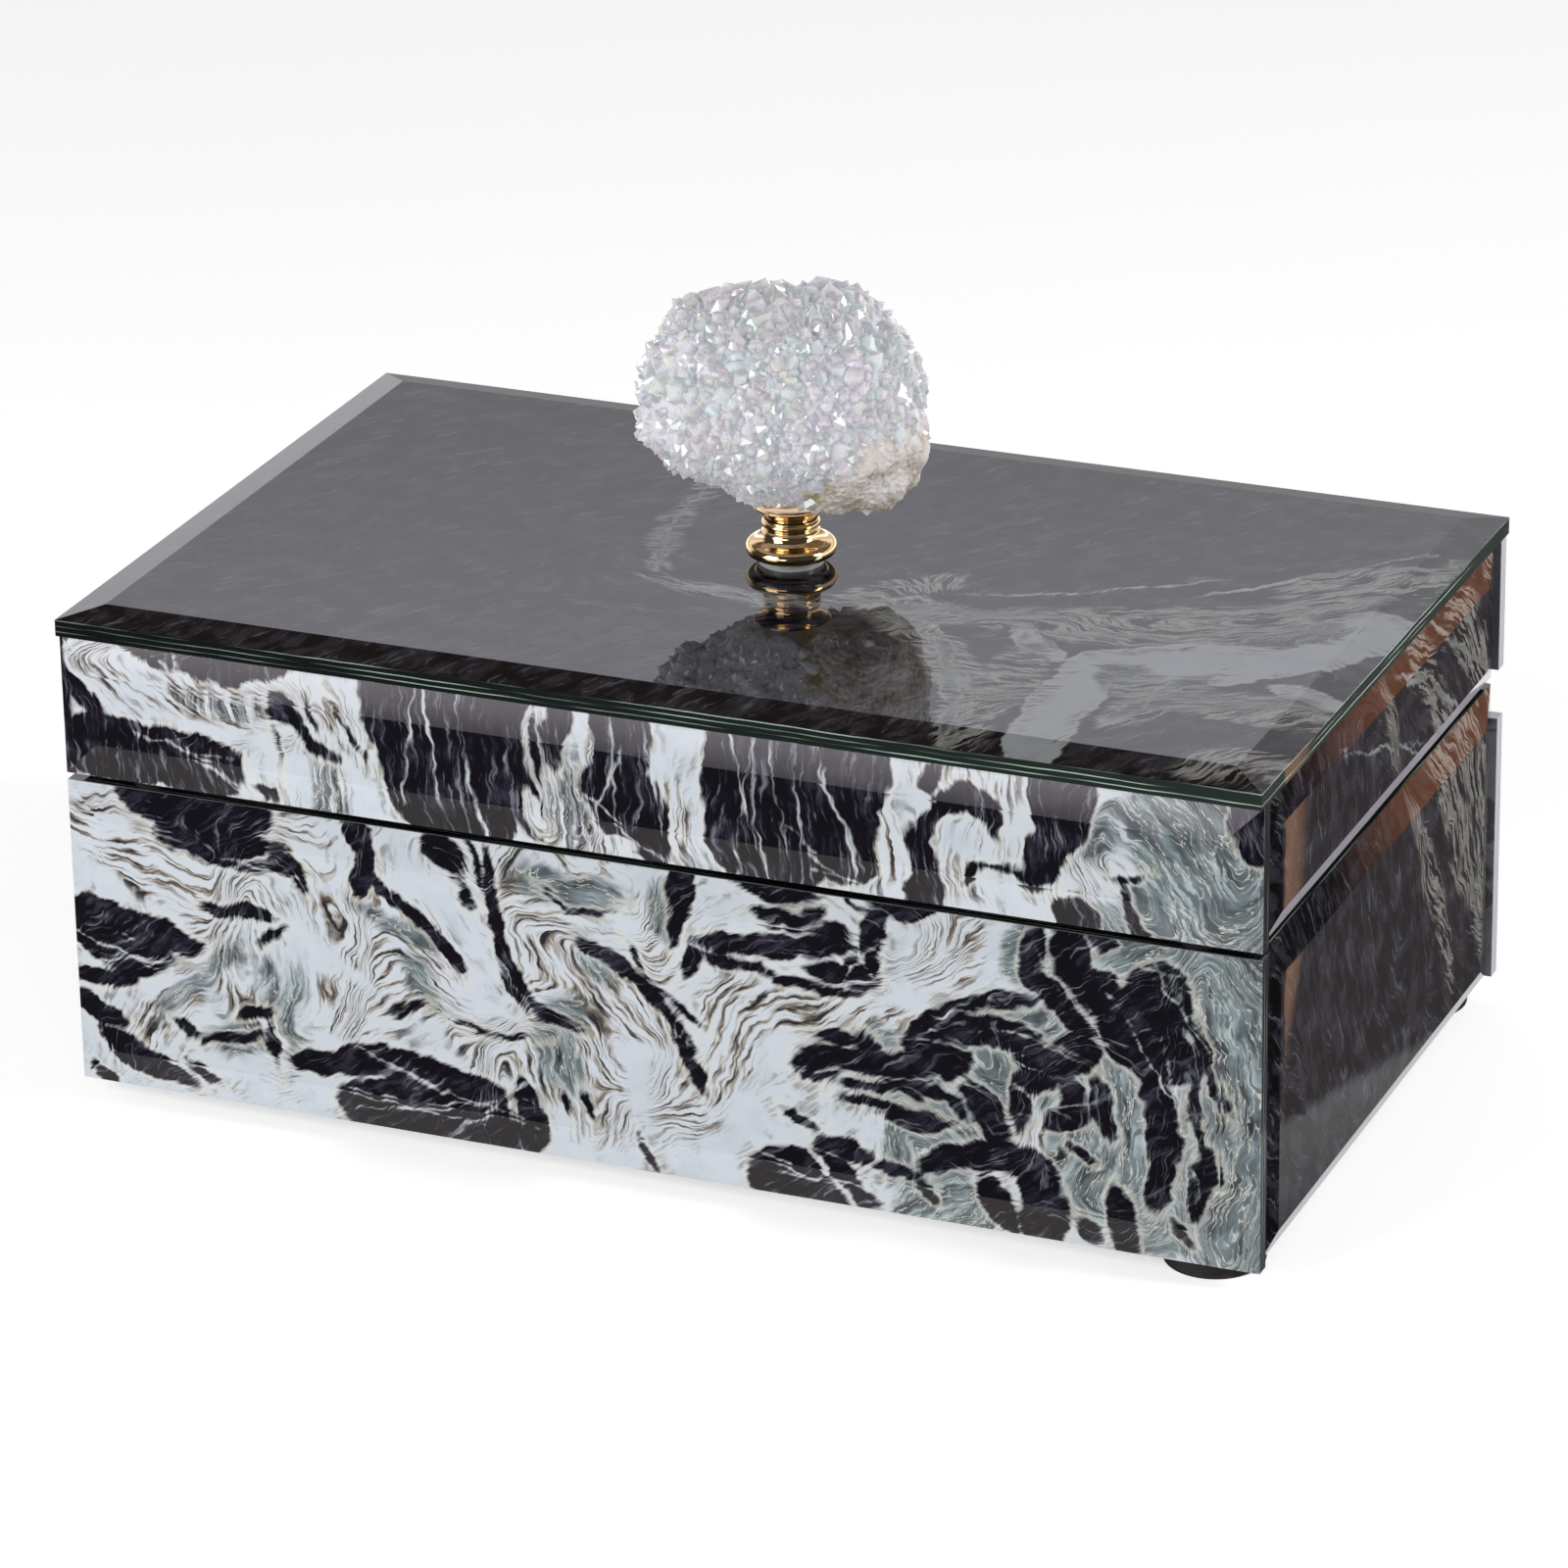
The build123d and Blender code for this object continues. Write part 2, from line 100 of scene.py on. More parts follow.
class Graph:
    """Builds a node tree with short calls; most of them return an output socket."""

    def __init__(self, tree):
        self.tree = tree

    def add(self, kind, values=None, **settings):
        node = self.tree.nodes.new(kind)
        for name, value in settings.items():
            setattr(node, name, value)
        for key, value in (values or {}).items():
            self.feed(node.inputs[key], value)
        return node

    def feed(self, socket, value):
        if isinstance(value, bpy.types.NodeSocket):
            self.tree.links.new(value, socket)
        else:
            socket.default_value = value

    def set(self, node, values):
        for name, value in values.items():
            self.feed(node.inputs[name], value)

    def math(self, operation, *values):
        return self.add("ShaderNodeMath", dict(enumerate(values)), operation=operation).outputs[0]

    def plus(self, a, b):
        return self.math("ADD", a, b)

    def minus(self, a, b):
        return self.math("SUBTRACT", a, b)

    def times(self, a, b):
        return self.math("MULTIPLY", a, b)

    def times_plus(self, a, b, c):
        return self.math("MULTIPLY_ADD", a, b, c)

    def vector(self, operation, *values):
        node = self.add("ShaderNodeVectorMath", dict(enumerate(values)), operation=operation)
        return node.outputs["Value" if operation in SCALAR_RESULTS else "Vector"]

    def scaled(self, vector, factor):
        node = self.add("ShaderNodeVectorMath", {"Vector": vector, "Scale": factor}, operation="SCALE")
        return node.outputs["Vector"]

    def combine(self, x, y, z=0.0):
        return self.add("ShaderNodeCombineXYZ", {0: x, 1: y, 2: z}).outputs[0]

    def separate(self, vector):
        return self.add("ShaderNodeSeparateXYZ", {0: vector}).outputs

    def local(self, vector, middle, turn, scale):
        """The vector in a frame with that middle and turn, in units of scale."""
        values = {"Vector": vector, "Location": middle, "Rotation": (0, 0, turn), "Scale": scale}
        return self.add("ShaderNodeMapping", values, vector_type="TEXTURE").outputs[0]

    def noise(self, vector, scale, detail=2.0, roughness=0.5, distortion=0.0, colour=False):
        values = {"Vector": vector, "Scale": scale, "Detail": detail}
        values.update({"Roughness": roughness, "Distortion": distortion})
        node = self.add("ShaderNodeTexNoise", values, noise_dimensions="3D")
        return node.outputs["Color" if colour else "Fac"]

    def cells(self, vector, scale):
        return self.add("ShaderNodeTexVoronoi", {"Vector": vector, "Scale": scale}).outputs["Distance"]

    def step(self, value, low, high, smooth=True):
        """0 where value is at or below low, 1 at or above high."""
        kind = "SMOOTHSTEP" if smooth else "LINEAR"
        values = {"Value": value, "From Min": low, "From Max": high}
        return self.add("ShaderNodeMapRange", values, interpolation_type=kind).outputs[0]

    def mix(self, share, first, second, blend="MIX"):
        node = self.add("ShaderNodeMix", data_type="RGBA", blend_type=blend)
        for index, value in ((0, share), (6, first), (7, second)):
            self.feed(node.inputs[index], value)
        return node.outputs[2]

    def ramp(self, value, stops):
        """A colour ramp; stops are (position, colour)."""
        node = self.add("ShaderNodeValToRGB", {0: value})
        ramp = node.color_ramp
        while len(ramp.elements) < len(stops):
            ramp.elements.new(0.5)
        for element, (position, colour) in zip(ramp.elements, stops):
            element.position = position
            element.color = colour
        return node.outputs[0]

    def bump(self, height, strength, distance):
        values = {"Height": height, "Strength": strength, "Distance": distance}
        return self.add("ShaderNodeBump", values).outputs[0]


def rgb(code):
    """Linear colour, with alpha, of a hexadecimal display colour."""
    parts = [int(code[i:i + 2], 16) / 255 for i in (0, 2, 4)]
    linear = [p / 12.92 if p <= 0.04045 else ((p + 0.055) / 1.055) ** 2.4 for p in parts]
    return (*linear, 1.0)


def grey(level):
    return (level, level, level, 1.0)


BLACK = grey(0.0)


def new_material(name):
    """A material with only an output and a Principled shader; returns it, its graph and the shader."""
    material = bpy.data.materials.new(name)
    material.use_nodes = True
    graph = Graph(material.node_tree)
    graph.tree.nodes.clear()
    shader = graph.add("ShaderNodeBsdfPrincipled")
    output = graph.add("ShaderNodeOutputMaterial")
    graph.tree.links.new(shader.outputs[0], output.inputs["Surface"])
    return material, graph, shader


def object_place(graph):
    """The point on the piece in its own frame, which turns with the piece."""
    return graph.add("ShaderNodeTexCoord").outputs["Object"]


# ---- the marbled print ----------------------------------------------------------------------
# A print is laid out in strokes, each (half-width at its start, half-width at its end, x0, y0, x1,
# y1, ...) in millimetres on the face.  ink is black, white cuts through the ink, grey is veined with
# grey-green, and smoke marks where the white is most veined.  flow lists the currents in the poured paint,
# each (half length, half width, middle x, y, turn in degrees, centre of curvature x, y).  grain_turn is the
# direction of the fine streaks in the ink, and streaks how strong they are.  Left of grain_until the grey
# veins run straight with the grain; right of it they curl.
WHOLE_FACE = [(400, 400, 124, 76, 126, 76)]
LID_FRONT = {
    "ink": [
        (8, 7, 17, 98, 45, 97), (3.4, 3, 47, 98, 66, 99), (3.5, 3.5, 0, 96, 0, 68),
        (7.5, 6.5, 4, 73, 20, 74, 35, 73), (2.5, 2, 2, 88, 9, 80), (2.8, 2.4, 48.5, 88, 51, 85),
        (1.2, 1.6, 51, 84, 55, 80, 60, 79), (0.7, 0.6, 54, 89, 56, 84), (0.5, 1, 61, 88, 67, 80.5),
        (8, 9, 71, 97, 77, 84, 82, 68), (9, 7, 86, 97, 90, 84, 91, 70), (7, 2, 97, 97, 99, 80, 102, 70),
        (4, 2, 108, 97, 107, 85), (7, 6, 120, 97, 121, 86), (7, 8, 119, 82, 124, 74),
        (4, 4, 127, 80, 127, 69), (12, 13, 150, 97, 151, 83, 152, 72), (10, 8, 165, 97, 166, 85, 166, 75),
        (5, 4, 172, 95, 172, 85), (6, 5, 142, 96, 144, 70), (2.2, 2, 184, 93, 184, 90.5),
        (4.5, 3, 182, 67, 183, 74, 180.5, 80), (2, 2.4, 180.5, 80, 185, 86, 191, 89.5, 196, 87),
        (1.4, 0.7, 196, 88, 197, 83.5), (0.9, 0.6, 192, 73, 195, 76, 201, 77, 205, 74.5),
        (5.5, 4, 209, 97, 209, 86, 207, 77), (5, 4, 213, 96, 211, 84), (0.7, 0.9, 220, 78, 226, 79),
        (0.9, 2, 222, 77, 224, 72, 227, 66), (5, 4, 213, 68, 213, 70), (5, 4, 247, 96, 248, 88),
        (1.4, 1.6, 42.5, 70.5, 46, 69.5), (0.4, 0.3, 47, 82, 47.5, 77.5),
    ],
    "white": [
        (1.6, 1.2, 5, 97, 7, 89), (1.2, 1, 11, 97, 15, 89), (0.16, 0.14, 25, 97, 26, 91, 33, 88),
        (0.16, 0.23, 22, 77, 30, 76, 36, 72, 39, 67), (0.14, 0.09, 78, 97, 75, 80),
        (0.14, 0.11, 86, 97, 87, 83), (0.23, 0.27, 88, 85, 90, 75, 92, 67), (0.11, 0.14, 80, 90, 82, 78),
        (0.9, 0.7, 102, 97, 101, 86, 104, 76, 108, 69), (0.27, 0.27, 108, 84, 109, 76, 114, 70),
        (0.18, 0.14, 113, 97, 112, 84, 113, 76), (0.27, 0.18, 129, 91, 129, 84),
        (0.14, 0.14, 118, 96, 119, 84, 116, 77, 123, 72), (0.14, 0.09, 125, 95, 127, 85),
        (2.4, 2.2, 114, 68, 122, 70), (1.5, 2.4, 100, 78, 104, 69), (3, 2.5, 134, 97, 134, 82),
        (3.2, 4, 136, 80, 135.5, 67), (0.11, 0.11, 143, 95, 146, 84, 144, 72),
        (0.11, 0.09, 151, 96, 153, 84), (0.11, 0.11, 160, 96, 165, 84, 168, 74),
        (0.14, 0.09, 157, 90, 158, 70), (0.11, 0.23, 160, 74, 165, 70, 172, 69),
        (2, 1.4, 176, 84, 174, 74, 176, 68), (0.11, 0.11, 149, 80, 150, 68),
        (0.23, 0.18, 241, 95, 246, 84, 249, 72),
    ],
    "grey": [
        (5, 4, 58, 78, 58.5, 66), (5, 5, 106, 92, 107, 80, 110, 71), (12, 13, 234, 93, 238, 82, 236, 70),
        (8, 8, 248, 96, 248, 66), (5, 4, 216, 70, 222, 69), (3, 2, 30, 86, 42, 86),
        (3, 2, 170, 71, 160, 70), (4, 3, 222, 90, 216, 84), (4, 4, 245, 76, 246, 66),
        (1.6, 1.4, 140, 67, 134, 68),
    ],
    "smoke": [
        (3, 2.5, 26, 86, 44, 86), (2, 3, 8, 92, 12, 88), (4, 3, 103, 72, 116, 70),
        (3, 3, 175, 82, 174, 72), (3, 3, 216, 80, 212, 76), (2, 2, 134, 70, 132, 80),
        (2.5, 2, 60, 88, 66, 82), (3, 3, 198, 92, 190, 93), (2, 1.5, 186, 76, 192, 72),
    ],
    "flow": [
        (30, 7, 30, 87, -6, 60, 150), (14, 6, 58, 78, 90, 15, 78), (16, 8, 107, 82, 90, 60, 74),
        (14, 7, 135, 82, 90, 190, 78), (20, 16, 232, 84, -40, 205, 60), (10, 8, 186, 80, 60, 200, 78),
    ],
    "grain_turn": radians(94),
    "streaks": 0.8,
    "grain_until": 205.0,
}
BODY_FRONT = {
    "ink": [
        (5, 5, 14, 64, 26, 62, 42, 62), (4.5, 4, 22, 58, 40, 57), (2.6, 2.2, 30, 55, 42, 53.5),
        (2.5, 2, 34, 54, 44, 56, 50, 54), (2, 1, 50, 55, 52, 50), (1.6, 2, 29, 43.5, 36, 43, 44, 42),
        (1.2, 0.9, 47, 40, 43, 37), (3.8, 3, 1, 37, 12, 37, 21, 36), (3, 2, 20, 35, 27, 33),
        (4, 3, 2, 32, 12, 31, 20, 31), (2.6, 2.4, 10, 27, 18, 28), (1.8, 2.2, 1, 23, 9, 24, 13, 25),
        (3, 2.6, 2, 18, 9, 14.5), (3, 2.2, 8, 11, 14, 7, 24, 4.5), (2.4, 2, 4, 3, 6, 1),
        (1.6, 1.2, 25, 8, 30, 6.5), (1.5, 1.3, 23, 17, 28, 14), (1.1, 1.5, 37, 20, 43, 21.5),
        (1.1, 0.9, 42.5, 20, 44.5, 11), (1, 1.8, 28, 13.5, 41, 15.5), (3.4, 3, 50, 12, 57, 13),
        (3.4, 4.2, 58, 14, 68, 15, 78, 13, 92, 12), (7, 6.5, 63, 5, 80, 5, 94, 4),
        (1.8, 4, 98.5, 15, 100, 9, 100, 2), (2.2, 1.6, 66, 17.5, 74, 17, 82, 15),
        (3.6, 1.6, 63, 63, 66, 60, 66, 54), (2, 2.4, 65, 56, 64, 51.5),
        (1.2, 2, 67, 55, 74, 48.5, 80, 44, 85, 38), (3.6, 2, 79, 63, 84, 60), (1.3, 1, 86.5, 57, 88, 52),
        (0.9, 1.2, 86, 65, 91, 57, 93, 48, 95, 39, 99, 32),
        (1.2, 1.6, 91, 64, 93, 54, 95, 44, 101, 33, 109, 29.5), (0.7, 0.6, 104, 57, 109, 54, 118, 55.5),
        (2, 2.2, 112, 47.5, 117, 46.5), (2, 1, 117, 46, 122, 42, 130, 36, 134, 30),
        (0.8, 0.7, 121, 49, 124, 44), (0.8, 0.7, 124, 41.5, 130, 39, 136, 35),
        (1.8, 1.6, 131, 31, 134, 26, 137, 21), (4.4, 0.7, 132, 64, 132.5, 58, 131.5, 51),
        (2.6, 2.2, 144, 64, 158, 63), (1.4, 1.2, 148, 59, 156, 58.5, 161, 60),
        (1.5, 3.2, 134, 45, 137, 51, 146, 53, 157, 54.5), (3.4, 2.6, 158, 54.5, 167, 56.5),
        (1, 1.4, 139, 48.8, 150, 47.8, 160, 46, 168, 45.5), (2, 2.8, 160, 50, 168, 50, 172, 54),
        (2.4, 2.2, 172, 56, 173, 62), (3, 2.2, 173, 64, 182, 64), (1.2, 1.4, 168, 46, 173, 50),
        (1.6, 1.4, 161, 36, 170, 37), (3, 3.2, 157, 28.5, 164, 29),
        (2.8, 3.2, 160, 31.5, 175, 32, 187, 33), (5.4, 5, 182, 37.5, 188, 36), (3.4, 3, 192, 30, 198, 22),
        (2.6, 2.2, 176, 21, 186, 22), (3, 2.6, 222, 12, 224, 2), (3.6, 3, 196, 10, 200, 3),
        (2.6, 2.4, 240, 24, 238, 12), (3.2, 2.6, 218, 34, 220, 26), (2.2, 2, 170, 37, 180, 27),
        (1.6, 1.8, 182, 41, 188, 45.5, 197, 48.5, 204, 51), (2.4, 4, 188, 41.5, 197, 42.5, 204, 42),
        (4.6, 3.6, 204, 38.5, 211, 39, 216, 41), (2.4, 1.6, 216, 45, 210, 43),
        (1, 1.3, 166, 26, 178, 28, 188, 28, 191, 24), (1, 1, 166, 23.5, 178, 23.5),
        (3, 2.4, 205, 63, 205, 56, 210, 51, 215, 47), (3.6, 2.4, 211, 64, 213, 57, 219, 51, 223, 46),
        (2.4, 1.8, 216, 64, 219, 62.5), (1.6, 1.4, 218, 56, 223, 55), (6.5, 7, 230, 56, 229, 49),
        (6, 6, 224, 44, 234, 43), (3, 2.5, 222, 52, 219, 47), (2, 1.2, 233, 57, 238, 50, 240, 42),
        (3.8, 3.2, 229, 38, 231, 29, 232, 20), (3.6, 2.2, 232, 22, 229, 13),
        (1.2, 1, 238, 42, 237, 32, 239, 24), (2.4, 2.2, 202, 25, 203, 33, 209, 34.5),
        (2.6, 2.4, 212, 33, 214, 29, 209, 26), (0.9, 0.8, 240, 43, 243, 34),
        (2.8, 3.6, 183, 12, 191, 15.5, 202, 18), (4.4, 5.2, 204, 17, 207, 11, 207, 0),
        (1.2, 1.6, 155, 19, 160, 16), (2.4, 2, 161, 13.5, 170, 12), (1.6, 1.2, 172, 10.5, 181, 9),
        (1.2, 1.4, 181, 8, 184, 5), (6, 4.6, 150, 3, 156, 7, 165, 6), (3.4, 3.2, 158, 2, 170, 3),
        (1.1, 1, 213, 21, 216, 18.5), (2.4, 2, 215, 5, 218, 3), (1.3, 1.1, 233, 9, 236, 6.5),
        (1, 1.4, 70, 26.5, 77, 29.5), (0.7, 0.8, 85, 26.5, 91, 24.5, 100, 25.5),
        (0.8, 0.8, 107, 15, 108, 11), (0.9, 1.2, 112, 15, 112.5, 11), (0.7, 1.2, 123, 8, 125, 2),
        (0.6, 0.5, 165, 64, 169, 63),
    ],
    "white": [
        (0.16, 0.14, 6, 31.5, 14, 29.5, 22, 30), (0.2, 0.18, 4, 27, 12, 29),
        (0.18, 0.23, 86, 5, 91, 9, 98, 14.5), (0.14, 0.14, 70, 15, 80, 12, 92, 9),
        (0.14, 0.16, 139, 50.6, 152, 49.2, 164, 47.4, 171, 49), (0.16, 0.18, 169, 60, 171, 54, 168, 50),
        (0.9, 0.6, 156, 15, 163, 6, 168, 0), (0.14, 0.14, 187, 44, 196, 46, 203, 45.5, 212, 41),
        (0.14, 0.14, 186, 38.5, 194, 38.5, 202, 36.5),
        (0.25, 0.23, 208, 63, 209, 57, 214, 52, 218, 46, 221, 38),
        (0.16, 0.14, 199, 42.5, 206, 43.5, 215, 38.5), (0.16, 0.14, 204, 31, 209, 29, 215, 31),
        (0.14, 0.18, 222, 60, 230, 59, 236, 53, 240, 46),
        (0.16, 0.14, 229, 41, 234, 33, 236, 24, 238, 18), (0.11, 0.11, 163, 28, 175, 29.5, 188, 30.5),
        (0.11, 0.11, 62, 8, 74, 7, 84, 9), (0.18, 0.14, 44, 56, 40, 53.5, 46, 53),
        (0.14, 0.14, 150, 8, 158, 6, 168, 6),
    ],
    "grey": [
        (2.2, 1.6, 36, 35, 30, 28, 22, 21, 19, 16), (2, 2, 44, 32, 42, 24), (4.5, 3, 33, 14.5, 40, 15),
        (2.5, 2, 50, 33, 47, 24, 48, 12), (4, 3, 112, 47, 117, 42), (5, 4, 108, 33, 104, 24, 110, 17),
        (3.5, 3, 98, 60, 108, 57, 118, 57), (3, 2.4, 74, 38, 79, 31), (7, 6, 172, 27, 188, 26),
        (7, 6, 184, 20, 178, 14), (6, 5, 190, 24, 198, 18), (12, 10, 214, 34, 224, 30),
        (6, 6, 196, 45, 212, 46), (5, 4, 164, 33, 176, 37), (9, 9, 220, 18, 234, 12),
        (5, 4, 208, 58, 216, 54), (6, 5, 190, 37, 198, 34), (8, 6, 192, 6, 180, 4),
        (4, 3.4, 201, 62, 202, 56), (7, 6, 222, 34, 221, 25), (7, 6, 212, 22, 216, 8),
        (8, 6, 222, 60, 240, 62), (11, 12, 245, 60, 244, 38, 245, 4), (8, 6, 240, 14, 226, 6),
        (5, 4, 200, 30, 192, 25), (4, 3, 240, 34, 238, 24), (3, 3, 128, 59, 130, 53),
        (2.5, 2, 152, 62, 158, 60), (2, 2, 66, 47, 82, 41),
    ],
    "smoke": [
        (7, 5, 8, 56, 24, 47, 40, 47), (4, 4, 50, 62, 54, 56), (9, 8, 62, 46, 78, 34),
        (6, 5, 56, 26, 66, 24), (8, 8, 96, 56, 112, 62), (8, 8, 104, 44, 118, 36),
        (9, 7, 106, 28, 114, 14), (6, 5, 88, 22, 98, 22), (6, 5, 128, 52, 126, 34),
        (7, 5, 144, 40, 138, 26, 132, 14), (5, 4, 152, 40, 168, 41), (5, 5, 190, 60, 186, 54),
        (4, 4, 176, 40, 180, 38), (5, 4, 24, 22, 16, 14), (3, 3, 30, 38, 34, 34),
        (5, 5, 206, 22, 222, 24), (5, 5, 240, 40, 242, 26), (4, 3, 36, 24, 46, 16),
    ],
    "flow": [
        (34, 9, 22, 50, -12, 0, -60), (14, 24, 48, 36, 0, 12, 34), (20, 12, 14, 16, 40, 45, 0),
        (26, 11, 84, 46, -52, 124, 76), (26, 12, 112, 40, -56, 164, 76), (20, 9, 143, 32, 62, 172, 16),
        (16, 8, 110, 56, 0, 108, 26), (20, 14, 104, 14, 80, 50, 8), (24, 9, 160, 56, 4, 158, 20),
        (40, 9, 242, 34, 90, 190, 34), (16, 14, 188, 26, 30, 176, 4), (20, 12, 218, 24, 90, 180, 30),
    ],
    "grain_turn": radians(35),
    "streaks": 0.3,
}
TOP = {
    "ink": WHOLE_FACE,
    "white": [
        (0.6, 0.9, 93, 110, 94, 96, 94, 85), (1, 0.7, 94, 86, 98, 73, 102, 61),
        (0.5, 0.9, 103, 57, 112, 55, 122, 56), (0.8, 0.6, 122, 56, 130, 52, 140, 57),
        (0.7, 1.2, 140, 58, 148, 68, 156, 74), (0.8, 0.7, 148, 62, 156, 66, 164, 62),
        (0.9, 0.8, 152, 58, 170, 60, 186, 66), (0.7, 0.6, 186, 66, 205, 73, 226, 82),
        (0.6, 0.5, 226, 82, 240, 96, 249, 124), (0.9, 0.8, 150, 56, 162, 50, 174, 38),
        (0.9, 1.1, 174, 38, 184, 22, 188, 4), (0.6, 0.5, 210, 88, 226, 104, 240, 120),
        (0.5, 0.4, 168, 72, 186, 80, 204, 92), (6, 8, 204, 2, 202, 20, 201, 38),
        (9, 12, 202, 42, 212, 50, 226, 54), (12, 7, 228, 56, 238, 70, 246, 86), (2, 5, 182, 56, 192, 46),
        (1.6, 2, 152, 57, 166, 52, 176, 32), (2, 1.8, 176, 32, 182, 16, 186, 2),
        (2.4, 2, 224, 50, 216, 34, 212, 18), (4, 3, 238, 46, 248, 44), (1.4, 1.4, 184, 58, 196, 56),
    ],
    "grey": [
        (3.4, 3, 93, 112, 94, 98, 95, 84), (3.4, 3, 95, 82, 100, 68, 103, 58),
        (3, 3.4, 106, 57, 122, 55, 136, 55), (4, 5, 142, 60, 150, 70, 160, 76),
        (6, 5, 150, 58, 170, 60, 188, 66), (5, 4, 186, 66, 205, 73, 228, 84),
        (4, 4, 226, 84, 240, 98, 248, 122), (5, 5, 152, 56, 164, 48, 176, 36),
        (5, 6, 174, 38, 184, 22, 188, 4), (8, 8, 190, 60, 206, 66, 222, 76), (6, 6, 186, 46, 190, 16),
        (5, 6, 214, 22, 222, 42), (8, 7, 228, 34, 248, 36), (6, 6, 234, 8, 248, 12),
        (7, 6, 206, 44, 216, 34), (10, 8, 196, 66, 234, 76), (8, 8, 226, 96, 244, 110),
    ],
    "smoke": [
        (4, 4, 152, 57, 166, 52, 176, 32), (4, 4, 176, 32, 182, 16, 186, 2), (5, 5, 190, 54, 210, 62),
        (4, 4, 212, 14, 222, 42), (3, 4, 192, 40, 194, 20), (3, 5, 226, 66, 236, 86),
    ],
    "flow": [
        (60, 40, 60, 90, 50, 140, 20), (40, 20, 120, 60, 0, 124, 130), (60, 20, 200, 50, 14, 160, 190),
        (50, 20, 224, 96, 40, 150, 180),
    ],
    "grain_turn": radians(55),
    "streaks": 0.10,
}
SIDE = {
    "ink": WHOLE_FACE,
    "white": [
        (0.6, 0.7, 84, 90, 100, 84, 120, 70), (0.7, 0.6, 104, 95, 120, 82, 146, 70),
        (0.7, 0.5, 118, 62, 134, 44, 148, 30), (0.5, 0.4, 108, 58, 124, 44, 138, 24),
        (0.3, 0.25, 60, 84, 84, 76, 98, 68), (0.6, 0.5, 128, 34, 140, 12),
    ],
    "grey": [
        (5, 5, 92, 96, 104, 80, 112, 68), (7, 6, 116, 96, 128, 82, 140, 68), (5, 5, 140, 96, 150, 80),
        (3, 3, 74, 90, 82, 74), (6, 7, 110, 62, 122, 46, 128, 30), (7, 7, 126, 62, 138, 44, 144, 22),
        (5, 6, 134, 30, 142, 8), (4, 3, 100, 46, 112, 28, 118, 14), (4, 5, 146, 60, 150, 30),
        (3, 2.4, 92, 60, 104, 44),
    ],
    "smoke": [
        (4, 4, 132, 90, 146, 74), (5, 4, 138, 56, 148, 30),
    ],
    "flow": [
        (50, 24, 126, 60, -62, 60, 20), (60, 30, 60, 50, -70, 160, 90),
    ],
    "grain_turn": radians(-42),
    "streaks": 0.06,
}

PAPER = rgb("c6ccd3")
INK = rgb("100e14")
INK_HAZE = rgb("34313f")
WISP = rgb("8d8f9a")
SMOKE = rgb("a5a19b")
OUTLINE = rgb("6e665e")
RIM = rgb("d0cfc6")
TEAL_SILK = (rgb("20262a"), rgb("5c696c"), rgb("9fadb0"))
STRIPED_SILK = (rgb("1f1e25"), rgb("6d6f74"), rgb("cdd3d8"))


FAR = 1.0e6                      # shrinks the third coordinate away when a stroke is measured


def stroke_field(graph, place, strokes, blend):
    """Distance in millimetres to the nearest stroke, negative inside one; strokes melt together over blend.

    The distance so far rides along as each stroke's third coordinate, so that the shader works through
    the strokes one after another and never holds more than one of them.
    """
    x, y, _ = graph.separate(place)[:3]
    field = 99.0
    for start, end, *numbers in strokes:
        points = list(zip(numbers[::2], numbers[1::2]))
        runs = len(points) - 1
        for index, ((x0, y0), (x1, y1)) in enumerate(zip(points, points[1:])):
            half_width = start + (end - start) * (index + 0.5) / runs
            half_length = hypot(x1 - x0, y1 - y0) / 2 + 0.8 * half_width
            middle = ((x0 + x1) / 2, (y0 + y1) / 2, 0)
            turn = atan2(y1 - y0, x1 - x0)
            here = graph.combine(x, y, field)
            local = graph.local(here, middle, turn, (half_length, half_width, FAR))
            reach = graph.vector("LENGTH", local)
            distance = graph.times_plus(reach, half_width, -half_width)
            field = graph.math("SMOOTH_MIN", field, distance, blend)
    return field


def current(graph, place, zones, tilt):
    """A number that is constant along the currents of the paint and changes by 1 a millimetre across them."""
    across = (-sin(tilt), cos(tilt), 0)
    level = graph.vector("DOT_PRODUCT", place, across)
    for half_length, half_width, x, y, turn, centre_x, centre_y in zones:
        middle = Vector((x, y, 0))
        local = graph.local(place, middle, radians(turn), (half_length, half_width, 1.0))
        inside = graph.step(graph.vector("LENGTH", local), 1.35, 0.65)
        centre = Vector((centre_x, centre_y, 0))
        shift = middle.dot(Vector(across)) - (middle - centre).length
        bent = graph.plus(graph.vector("DISTANCE", place, centre), shift)
        level = graph.times_plus(graph.minus(bent, level), inside, level)
    return level


